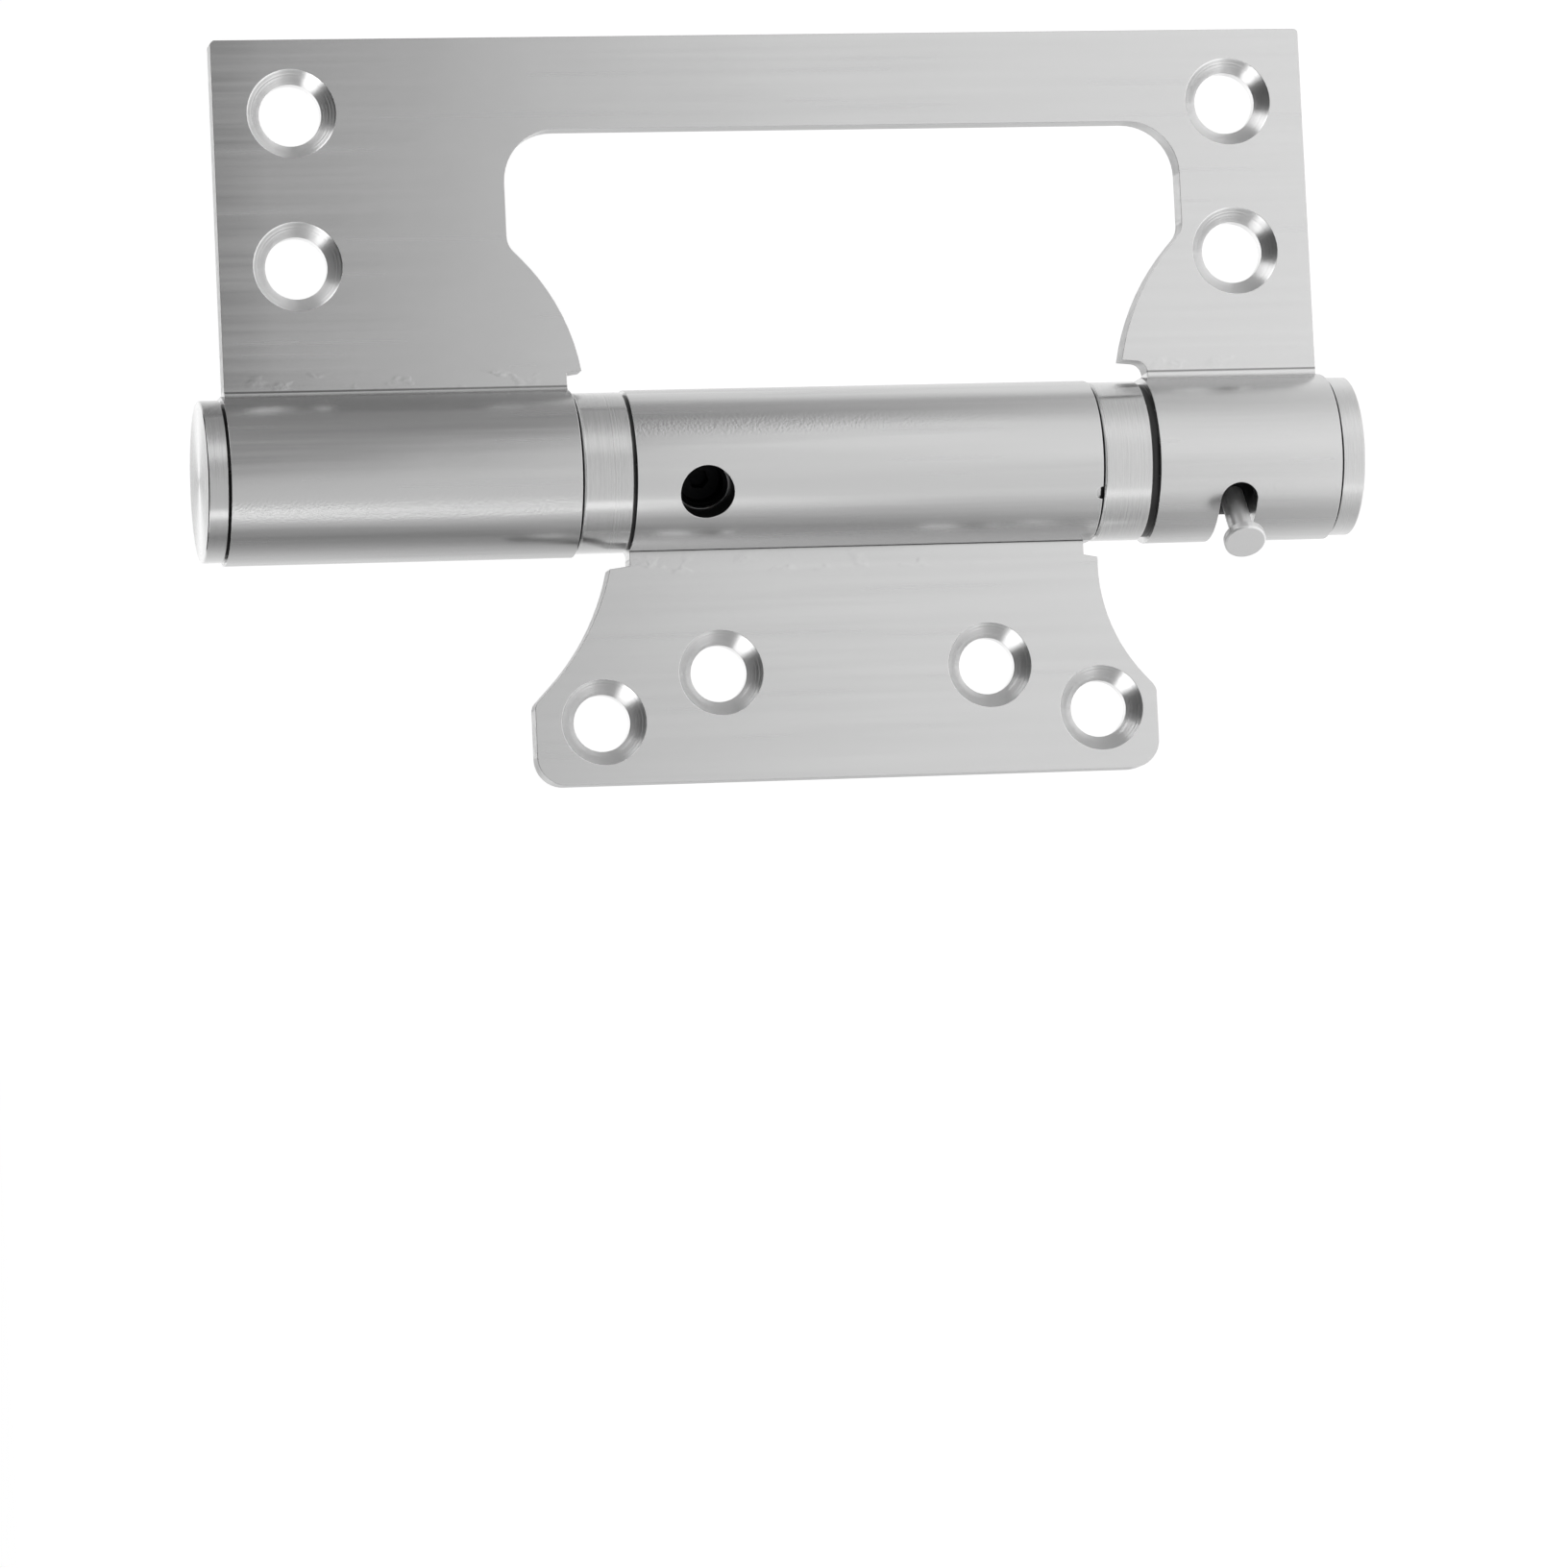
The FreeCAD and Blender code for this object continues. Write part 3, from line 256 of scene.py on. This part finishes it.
def rolled_off(tree, z, flat):
    """A share that grows as a square towards the outer leaf's upper edge."""
    share = add(tree, RANGE, (z, ROLL_OFF_FROM, ROLL_OFF_TO))
    share = add(tree, MATH, (share, 2.0), operation="POWER")
    return add(tree, MATH, (share, flat), operation="MULTIPLY")


def leaf_steel(leaf):
    """Stainless sheet, ground on a belt along the pin, then bent and countersunk.

    The belt gives it soft streaks along the pin, and the countersink fine bright rings in the cones.
    """
    material, tree = new_material("brushed_stainless_" + leaf)
    place = add(tree, "ShaderNodeTexCoord").outputs["Object"]
    x, y, z = add(tree, SEPARATE, (place,)).outputs
    normal = add(tree, "ShaderNodeNewGeometry").outputs["Normal"]
    normal = add(tree, TRANSFORM, (normal,), vector_type="NORMAL", convert_from="WORLD", convert_to="OBJECT")
    facing = add(tree, SEPARATE, (normal,)).outputs[1]
    facing = add(tree, MATH, (facing,), operation="ABSOLUTE")
    in_cone, radius = countersink_rings(tree, place, facing, leaf)
    outside_cone = add(tree, MATH, (1.0, in_cone), operation="SUBTRACT")
    from_pin = add(tree, MATH, (x,), operation="ABSOLUTE")
    flat = add(tree, RANGE, (from_pin, FLAT_START, FLAT_WHOLE))
    front = add(tree, MATH, (y, FRONT_FROM), operation="LESS_THAN")
    sheared = sheared_faces(tree, facing, from_pin, outside_cone)
    rings = texture(tree, add(tree, COMBINE, (radius,)), TOOL_LINES)
    relief = [
        (rolled_off(tree, z, flat), -ROLL_OFF_DEPTH),
        (texture(tree, place, BRUSH_LINES, 3.0), BRUSH_DEPTH),
        (texture(tree, place, BLOTCHES), BLOTCH_DEPTH),
        (texture(tree, place, WAVES, 1.0), WAVE_DEPTH),
        (texture(tree, place, ORANGE_PEEL), peel_depth(tree, leaf, x, z, front)),
        (texture(tree, place, SCUFFS), scuff_depth(tree, place, from_pin, flat)),
        (texture(tree, place, SHEAR_LINES), add(tree, MATH, (sheared, SHEAR_DEPTH), operation="MULTIPLY")),
        (rings, add(tree, MATH, (in_cone, TOOL_DEPTH), operation="MULTIPLY")),
    ]
    streaks = texture(tree, place, GLOSS_STREAKS)
    gloss = add(tree, RANGE, (streaks, *NOISE_SPREAD, *LEAF_ROUGHNESS))
    gloss = add(tree, MATH, (sheared, SHEAR_ROUGHER, gloss), operation="MULTIPLY_ADD")
    gloss = add(tree, MIX, {SHARE: in_cone, FLOATS[0]: gloss, FLOATS[1]: CONE_ROUGHNESS})
    colour = mixed_colour(tree, in_cone, (linear("#D2D2D2"), linear("#F0F0F0")))
    if leaf == "outer":
        line, strip = die_line(tree, x, z, front)
        relief.append((line, -DIE_LINE_DEPTH))
        gloss = add(tree, MIX, {SHARE: strip, FLOATS[0]: gloss, FLOATS[1]: STRIP_ROUGHNESS})
        # Painted highlight: the strip beside the die line is drawn lighter. Painted shade: the die line is
        # drawn darker over its real shallow groove.
        colour = mixed_colour(tree, strip, (colour, linear("#E6E6E6")))
        colour = mixed_colour(tree, line, (colour, linear("#8A8A8A")))
    steel = add(tree, PRINCIPLED, {
        "Base Color": colour,
        "Metallic": 1.0,
        "Roughness": gloss,
        "Normal": surface_normal(tree, relief, WORN_EDGE),
        "Anisotropic": add(tree, MATH, (outside_cone, BRUSH_ANISOTROPY), operation="MULTIPLY"),
        "Anisotropic Rotation": BRUSH_TURN,
        "Tangent": add(tree, COMBINE, BRUSH_DIRECTION),
    })
    if leaf == "inner":
        steel = key_hole_wall(tree, x, y, z, steel)
    add(tree, "ShaderNodeOutputMaterial", (steel,))
    return material


def die_line(tree, x, z, front):
    """Where the bending die's line runs beside an outer knuckle, and the strip to the crease, which is
    painted lighter as a highlight.
    """
    low, high = DIE_LINE_LOW, DIE_LINE_HIGH
    line = add(tree, RANGE, (z, low[1], high[1], low[0], high[0]))
    before = add(tree, MATH, (line, x), operation="SUBTRACT")
    away = add(tree, MATH, (before,), operation="ABSOLUTE")
    # The groove's mask: it shapes the real shallow groove and carries the painted shade in its colour.
    groove_and_painted_shade = add(tree, RANGE, (away, 0.0, DIE_LINE_HALF, 1.0, 0.0), interpolation_type="SMOOTHSTEP")
    groove_and_painted_shade = add(tree, MATH, (groove_and_painted_shade, front), operation="MULTIPLY")
    strip = add(tree, RANGE, (before, DIE_LINE_HALF / 2, DIE_LINE_HALF))
    crease = add(tree, MATH, (x, CREASE), operation="GREATER_THAN")
    strip = add(tree, MATH, (strip, crease), operation="MULTIPLY")
    return groove_and_painted_shade, add(tree, MATH, (strip, front), operation="MULTIPLY")


def key_hole_wall(tree, x, y, z, steel):
    """Painted shade on the key hole's wall: it is coloured near black, which keeps the hole dark down to its
    rim.
    """
    across = add(tree, MATH, (x, math.cos(KEY_HOLE_ANGLE)), operation="MULTIPLY")
    across = add(tree, MATH, (y, -math.sin(KEY_HOLE_ANGLE), across), operation="MULTIPLY_ADD")
    height = add(tree, MATH, (z, KEY_HOLE_HEIGHT), operation="SUBTRACT")
    spot = add(tree, COMBINE, (across, height))
    radius = add(tree, VECTOR, (spot,), operation="LENGTH").outputs["Value"]
    wall = add(tree, MATH, (radius, KEY_HOLE_WALL), operation="LESS_THAN")
    section = add(tree, COMBINE, (x, y))
    from_pin = add(tree, VECTOR, (section,), operation="LENGTH").outputs["Value"]
    below = add(tree, MATH, (from_pin, KEY_HOLE_OUTSIDE), operation="LESS_THAN")
    sunk = add(tree, MATH, (wall, below), operation="MULTIPLY")
    # Painted shade: a near-black colour on the hole's wall.
    painted_shade = add(tree, PRINCIPLED, {"Base Color": linear("#141414"), "Roughness": KEY_HOLE_SHADE_ROUGHNESS})
    return add(tree, "ShaderNodeMixShader", (sunk, steel, painted_shade))


# Turning marks are finer than a pixel, so they are drawn as coarse as they need to show.
TURNED_LINES = (0.16 * MM, ENDLESS, 0.16 * MM)
TURNED_DEPTH = 0.007 * MM
TURNED_BLOTCHES = (1.2 * MM, 1.2 * MM, 0.4 * MM)
TURNED_BLOTCH_DEPTH = 0.006 * MM
TURNED_ROUGHNESS = (0.2, 0.28)
TURNED_ANISOTROPY = 0.9
TURNED_RIM = 8.6 * MM
# Half the barrel with its caps, and how far inside the end faces the painted shade in the joints begins.
HALF_BARREL = 65.65 * MM
END_SKIN = 0.05 * MM
JOINT_SHADE_ROUGHNESS = 0.5


def turned_stainless():
    """Bar stainless turned in a lathe: fine rings on rims and faces, and painted shade in the joints, whose
    inner faces are coloured near black.
    """
    material, tree = new_material("turned_stainless")
    place = add(tree, "ShaderNodeTexCoord").outputs["Object"]
    z = add(tree, SEPARATE, (place,)).outputs[2]
    flat = add(tree, VECTOR, (place, (1.0, 1.0, 0.0)), operation="MULTIPLY")
    radius = add(tree, VECTOR, (flat,), operation="LENGTH").outputs["Value"]
    section = add(tree, COMBINE, (radius, 0.0, z))
    lines = texture(tree, section, TURNED_LINES)
    relief = [(lines, TURNED_DEPTH), (texture(tree, place, TURNED_BLOTCHES), TURNED_BLOTCH_DEPTH)]
    across = add(tree, VECTOR, (flat,), operation="NORMALIZE")
    across = add(tree, VECTOR, (across, (0.0, 0.0, 1.0)), operation="ADD")
    across = add(tree, TRANSFORM, (across,), convert_from="OBJECT", convert_to="WORLD")
    steel = add(tree, PRINCIPLED, {
        "Base Color": linear("#D4D4D4"),
        "Metallic": 1.0,
        "Roughness": add(tree, RANGE, (lines, *NOISE_SPREAD, *TURNED_ROUGHNESS)),
        "Normal": surface_normal(tree, relief, WORN_EDGE),
        "Anisotropic": TURNED_ANISOTROPY,
        "Tangent": across,
    })
    # Painted shade: the faces under the rim, inside the joints, are coloured near black so that the gaps
    # read dark.
    from_middle = add(tree, MATH, (z, HALF_BARREL), operation="SUBTRACT")
    from_middle = add(tree, MATH, (from_middle,), operation="ABSOLUTE")
    inside = add(tree, MATH, (from_middle, HALF_BARREL - END_SKIN), operation="LESS_THAN")
    sunk = add(tree, MATH, (radius, TURNED_RIM), operation="LESS_THAN")
    sunk = add(tree, MATH, (sunk, inside), operation="MULTIPLY")
    painted_shade = add(tree, PRINCIPLED, {"Base Color": linear("#0C0C0C"), "Roughness": JOINT_SHADE_ROUGHNESS})
    add(tree, "ShaderNodeOutputMaterial", (add(tree, "ShaderNodeMixShader", (sunk, steel, painted_shade)),))
    return material


# Depth of the grain and radius of the worn or moulded edges.
GROUND_SKIN = (0.002 * MM, 0.12 * MM)
MOULDED_SKIN = (0.004 * MM, 0.25 * MM)


def plain_finish(name, colour, gloss, grain, skin, metallic):
    """One colour, with a faint grain in its skin and its edges rounded."""
    material, tree = new_material(name)
    depth, rounding = skin
    noise = texture(tree, add(tree, "ShaderNodeTexCoord").outputs["Object"], (grain, grain, grain), 3.0)
    surface = add(tree, PRINCIPLED, {
        "Base Color": linear(colour),
        "Metallic": metallic,
        "Roughness": add(tree, RANGE, (noise, *NOISE_SPREAD, *gloss)),
        "Normal": surface_normal(tree, [(noise, depth)], rounding),
    })
    add(tree, "ShaderNodeOutputMaterial", (surface,))
    return material


def ground_metal(name, colour, low, high, grain):
    """A metal ground or drawn smooth: soft reflections, edges just broken."""
    return plain_finish(name, colour, (low, high), grain, GROUND_SKIN, 1.0)


def moulded_plastic(name, colour, low, high, grain):
    """A moulded polymer or rubber: a dull skin and rounded edges."""
    return plain_finish(name, colour, (low, high), grain, MOULDED_SKIN, 0.0)


FINISHES = {
    "turned_stainless": turned_stainless(),
    # Steel cut on a lathe and a mill: an even mid grey with soft reflections.
    "machined_steel": ground_metal("machined_steel", "#B9B9B9", 0.28, 0.4, 0.3 * MM),
    # Wire headed and tumbled bright: pale, with a dull even gloss.
    "pin_steel": ground_metal("pin_steel", "#E4E4E4", 0.44, 0.52, 0.3 * MM),
    # Spring wire drawn and oiled: darker and a little uneven.
    "spring_steel": ground_metal("spring_steel", "#8E8E90", 0.3, 0.45, 0.4 * MM),
    # Hardened steel ground fine: nearly a mirror.
    "hardened_steel": ground_metal("hardened_steel", "#C4C4C6", 0.12, 0.2, 0.5 * MM),
    # Steel blackened in a hot bath: nearly black, with a metal's dull sheen.
    "black_oxide": ground_metal("black_oxide", "#1C1C1D", 0.45, 0.6, 0.3 * MM),
    # Acetal moulded in polished steel: black and faintly shiny.
    "black_acetal": moulded_plastic("black_acetal", "#1E1E1E", 0.3, 0.4, 0.3 * MM),
    # PTFE pressed and sintered: a waxy white.
    "white_ptfe": moulded_plastic("white_ptfe", "#E8E8E4", 0.45, 0.55, 0.3 * MM),
    # Rubber moulded in a dull tool: a flat black.
    "seal_rubber": moulded_plastic("seal_rubber", "#1D1D1E", 0.55, 0.7, 0.2 * MM),
}
OWN_FINISHES = {
    "outer_leaf": leaf_steel("outer"),
    "inner_leaf": leaf_steel("inner"),
    "damper_spindle": FINISHES["black_oxide"],
    "lock_screw": FINISHES["black_oxide"],
    # Painted shade: the tension drum gets the near-black finish so that the slot round the pin renders dark.
    "tension_drum": FINISHES["black_oxide"],
}

for part in frame["record"]["subparts"]:
    name = part["node"]
    mesh = frame["nodes"][name].data
    mesh.materials.clear()
    mesh.materials.append(OWN_FINISHES.get(name) or FINISHES[part["material_slot"]])


# Studio

def new_mesh_object(name, points, faces):
    """A mesh object in the scene."""
    mesh = bpy.data.meshes.new(name)
    mesh.from_pydata(points, [], faces)
    made = bpy.data.objects.new(name, mesh)
    bpy.context.scene.collection.objects.link(made)
    return made


def shown_background(tree):
    """One where the camera, a gloss or a clear body looks at the background."""
    path = add(tree, "ShaderNodeLightPath")
    direct = add(tree, MATH, (path.outputs["Is Camera Ray"], path.outputs["Is Glossy Ray"]), operation="ADD")
    return add(tree, MATH, (direct, path.outputs["Is Transmission Ray"]), operation="ADD")


def floor():
    """A pale floor that shows white and still takes the hinge's shadow."""
    half = FLOOR_HALF_WIDTH
    corners = [(-half, -half), (half, -half), (half, half), (-half, half)]
    made = new_mesh_object("floor", [(x, y, FLOOR_HEIGHT) for x, y in corners], [(0, 1, 2, 3)])
    material, tree = new_material("pale_floor")
    paint = add(tree, "ShaderNodeBsdfDiffuse", {"Color": linear("#F2F2F2")})
    lift = add(tree, MATH, (shown_background(tree), FLOOR_LIFT), operation="MULTIPLY")
    glossy = add(tree, "ShaderNodeLightPath").outputs["Is Glossy Ray"]
    lift = add(tree, MATH, (glossy, FLOOR_GLOSSY_LIFT, lift), operation="MULTIPLY_ADD")
    white = add(tree, "ShaderNodeEmission", {"Strength": lift})
    add(tree, "ShaderNodeOutputMaterial", (add(tree, "ShaderNodeAddShader", (paint, white)),))
    made.data.materials.append(material)


# The brightest level that a row can hold.
BRIGHTEST = 2.0
# Brightness of the tent's wall by azimuth from the hinge's front, in degrees, positive towards the inner
# leaf. Each row is for one height: dark side panels and a grey front above, opening to pale cloth near
# the floor.
PANEL_ROWS = {
    0.3: [
        (-180, 1.2), (-140, 1.05), (-120, 0.5), (-100, 0.22), (-70, 0.25), (-56, 0.5), (-44, 2.0),
        (-32, 2.0), (-20, 0.5), (0, 0.2), (36, 0.2), (46, 0.35), (52, 0.5), (58, 0.5), (66, 0.3), (80, 0.22),
        (104, 0.4), (125, 0.7), (140, 1.05), (180, 1.2),
    ],
    0.05: [
        (-180, 1.0), (-150, 0.85), (-125, 0.3), (-111, 0.22), (-93, 0.28), (-65, 0.29), (-41, 0.24),
        (-25, 0.2), (-9, 0.22), (2, 0.45), (12, 0.64), (33, 0.7), (45, 0.76), (50, 1.5), (57, 1.5),
        (63, 0.74), (76, 0.38), (92, 0.2), (107, 0.4), (125, 0.65), (150, 0.85), (180, 1.0),
    ],
    -0.015: [
        (-180, 1.0), (-150, 0.8), (-125, 0.3), (-111, 0.22), (-93, 0.28), (-65, 0.29), (-41, 0.24),
        (-25, 0.26), (-9, 0.38), (2, 0.56), (12, 0.68), (33, 0.71), (45, 0.78), (50, 1.9), (57, 1.9),
        (63, 0.76), (76, 0.39), (92, 0.2), (107, 0.4), (125, 0.65), (150, 0.85), (180, 1.0),
    ],
    -0.048: [
        (-180, 1.0), (-140, 0.9), (-120, 0.55), (-98, 0.35), (-81, 0.29), (-67, 0.29), (-52, 0.28),
        (-42, 0.3), (-30, 0.47), (-18, 0.68), (-8, 0.72), (0, 0.8), (10, 0.79), (36, 0.76), (46, 0.82),
        (51, 1.85), (57, 1.8), (63, 0.76), (78, 0.42), (94, 0.22), (107, 0.36), (124, 0.62), (145, 0.82),
        (180, 1.0),
    ],
    -0.08: [
        (-180, 1.0), (-130, 1.0), (-117, 0.9), (-98, 0.5), (-81, 0.3), (-67, 0.3), (-52, 0.27), (-42, 0.33),
        (-31, 0.63), (-22, 0.92), (-14, 0.77), (-8, 0.75), (-2, 0.81), (4, 0.86), (14, 0.81), (36, 0.77),
        (46, 0.82), (51, 1.7), (57, 1.6), (63, 0.74), (81, 0.4), (95, 0.26), (108, 0.32), (123, 0.6),
        (140, 0.8), (180, 1.0),
    ],
    -0.15: [
        (-180, 1.0), (-120, 1.0), (-109, 0.85), (-97, 0.62), (-84, 0.44), (-75, 0.46), (-66, 0.72),
        (-56, 1.25), (-44, 1.5), (-32, 1.3), (-20, 1.08), (-12, 0.98), (-5, 1.06), (8, 0.96), (22, 0.9),
        (40, 0.88), (50, 0.75), (60, 0.58), (72, 0.5), (88, 0.4), (108, 0.28), (125, 0.3), (145, 0.55),
        (180, 1.0),
    ],
    -0.225: [
        (-180, 1.0), (-120, 1.0), (-100, 0.7), (-84, 0.64), (-72, 0.66), (-60, 0.7), (-50, 0.76),
        (-38, 0.74), (-30, 0.82), (-20, 0.96), (-10, 1.08), (-4, 1.02), (4, 0.82), (16, 0.73), (44, 0.75),
        (54, 0.78), (64, 0.73), (76, 0.61), (90, 0.47), (102, 0.4), (118, 0.47), (136, 0.7), (155, 0.88),
        (180, 1.0),
    ],
    -0.27: [
        (-180, 1.0), (-120, 1.05), (-100, 0.92), (-84, 0.84), (-72, 0.84), (-60, 0.9), (-50, 0.97),
        (-38, 1.03), (-24, 1.08), (-10, 1.1), (0, 1.03), (16, 1.0), (40, 1.12), (50, 1.08), (62, 0.84),
        (76, 0.66), (90, 0.57), (102, 0.6), (118, 0.74), (136, 0.9), (155, 1.0), (180, 1.0),
    ],
}


def panels(tree, turn, levels):
    """A ramp of brightness round the wall."""
    ramp = add(tree, "ShaderNodeValToRGB", (turn,))
    stops = ramp.color_ramp.elements
    for azimuth, level in levels:
        if azimuth == -180:
            stop = stops[0]
        elif azimuth == 180:
            stop = stops[-1]
        else:
            stop = stops.new(azimuth / 360 + 0.5)
        stop.color = (level / BRIGHTEST, level / BRIGHTEST, level / BRIGHTEST, 1.0)
    return ramp


def light_tent():
    """The tent's wall round the hinge: dark side panels, a pale front, brighter towards the floor."""
    points = []
    faces = []
    for step in range(TENT_PANELS):
        turn = 2 * math.pi * step / TENT_PANELS
        x, y = TENT_RADIUS * math.cos(turn), TENT_RADIUS * math.sin(turn)
        points += [(x, y, FLOOR_HEIGHT), (x, y, TENT_TOP)]
        here, after = 2 * step, 2 * ((step + 1) % TENT_PANELS)
        faces.append((here, here + 1, after + 1, after))
    wall = new_mesh_object("tent_wall", points, faces)
    material, tree = new_material("tent_cloth")
    place = add(tree, "ShaderNodeTexCoord").outputs["Object"]
    x, y, z = add(tree, SEPARATE, (place,)).outputs
    aside = add(tree, MATH, (x, -1.0), operation="MULTIPLY")
    ahead = add(tree, MATH, (y, -1.0), operation="MULTIPLY")
    turn = add(tree, MATH, (aside, ahead), operation="ARCTAN2")
    turn = add(tree, MATH, (turn, 1 / (2 * math.pi), 0.5), operation="MULTIPLY_ADD")
    glow = None
    above = None
    for height, levels in PANEL_ROWS.items():
        row = panels(tree, turn, levels)
        if glow is None:
            glow = row
        else:
            fall = add(tree, RANGE, (z, above, height))
            glow = mixed_colour(tree, fall, (glow, row))
        above = height
    add(tree, "ShaderNodeOutputMaterial", (add(tree, "ShaderNodeEmission", (glow, BRIGHTEST)),))
    wall.data.materials.append(material)
    wall.visible_camera = False


def dark_ceiling():
    """A dark cloth over the tent, which the cones of the screw holes mirror."""
    rim = [2 * math.pi * step / TENT_PANELS for step in range(TENT_PANELS)]
    points = [(TENT_RADIUS * math.cos(turn), TENT_RADIUS * math.sin(turn), TENT_TOP) for turn in rim]
    ceiling = new_mesh_object("tent_ceiling", points, [tuple(range(TENT_PANELS))])
    material, tree = new_material("dark_cloth")
    cloth = add(tree, "ShaderNodeBsdfDiffuse", {"Color": linear("#4A4A4A")})
    add(tree, "ShaderNodeOutputMaterial", (cloth,))
    ceiling.data.materials.append(material)
    ceiling.visible_camera = False


def world():
    """A white surround for the eye and for reflections, and soft light for the rest."""
    made = bpy.data.worlds.new("studio")
    made.use_nodes = True
    tree = made.node_tree
    tree.nodes.clear()
    seen = add(tree, "ShaderNodeBackground", {"Color": linear("#FFFFFF"), "Strength": 1.0})
    soft = add(tree, "ShaderNodeBackground", {"Color": linear("#FFFFFF"), "Strength": SURROUND_LIGHT})
    share = add(tree, MATH, (shown_background(tree), 1.0), operation="MINIMUM")
    add(tree, "ShaderNodeOutputWorld", (add(tree, "ShaderNodeMixShader", (share, soft, seen)),))
    bpy.context.scene.world = made


def softbox(name, place, power):
    """A square lamp that faces the hinge's middle."""
    lamp = bpy.data.lights.new(name, "AREA")
    lamp.size = SOFTBOX_SIZE
    lamp.energy = power
    made = bpy.data.objects.new(name, lamp)
    made.location = place
    made.rotation_euler = (Vector(HINGE_MIDDLE) - Vector(place)).to_track_quat("-Z", "Y").to_euler()
    made.visible_camera = False
    bpy.context.scene.collection.objects.link(made)


def camera():
    """The camera, rolled as the photograph was turned."""
    lens = bpy.data.cameras.new("camera")
    lens.sensor_width = SENSOR_WIDTH
    lens.lens = LENS
    lens.clip_end = CAMERA_REACH
    made = bpy.data.objects.new("camera", lens)
    right = Vector(CAMERA_RIGHT).normalized()
    up = Vector(CAMERA_UP).normalized()
    turned = Matrix((right, up, right.cross(up))).transposed().to_4x4()
    made.matrix_world = Matrix.Translation(CAMERA_PLACE) @ turned
    bpy.context.scene.collection.objects.link(made)
    bpy.context.scene.camera = made


floor()
light_tent()
dark_ceiling()
world()
softbox("softbox_left", (-0.62, -0.2, 0.62), 1.5)
softbox("softbox_right", (0.62, -0.2, 0.62), 1.1)
camera()
bpy.context.scene.view_settings.view_transform = "Standard"
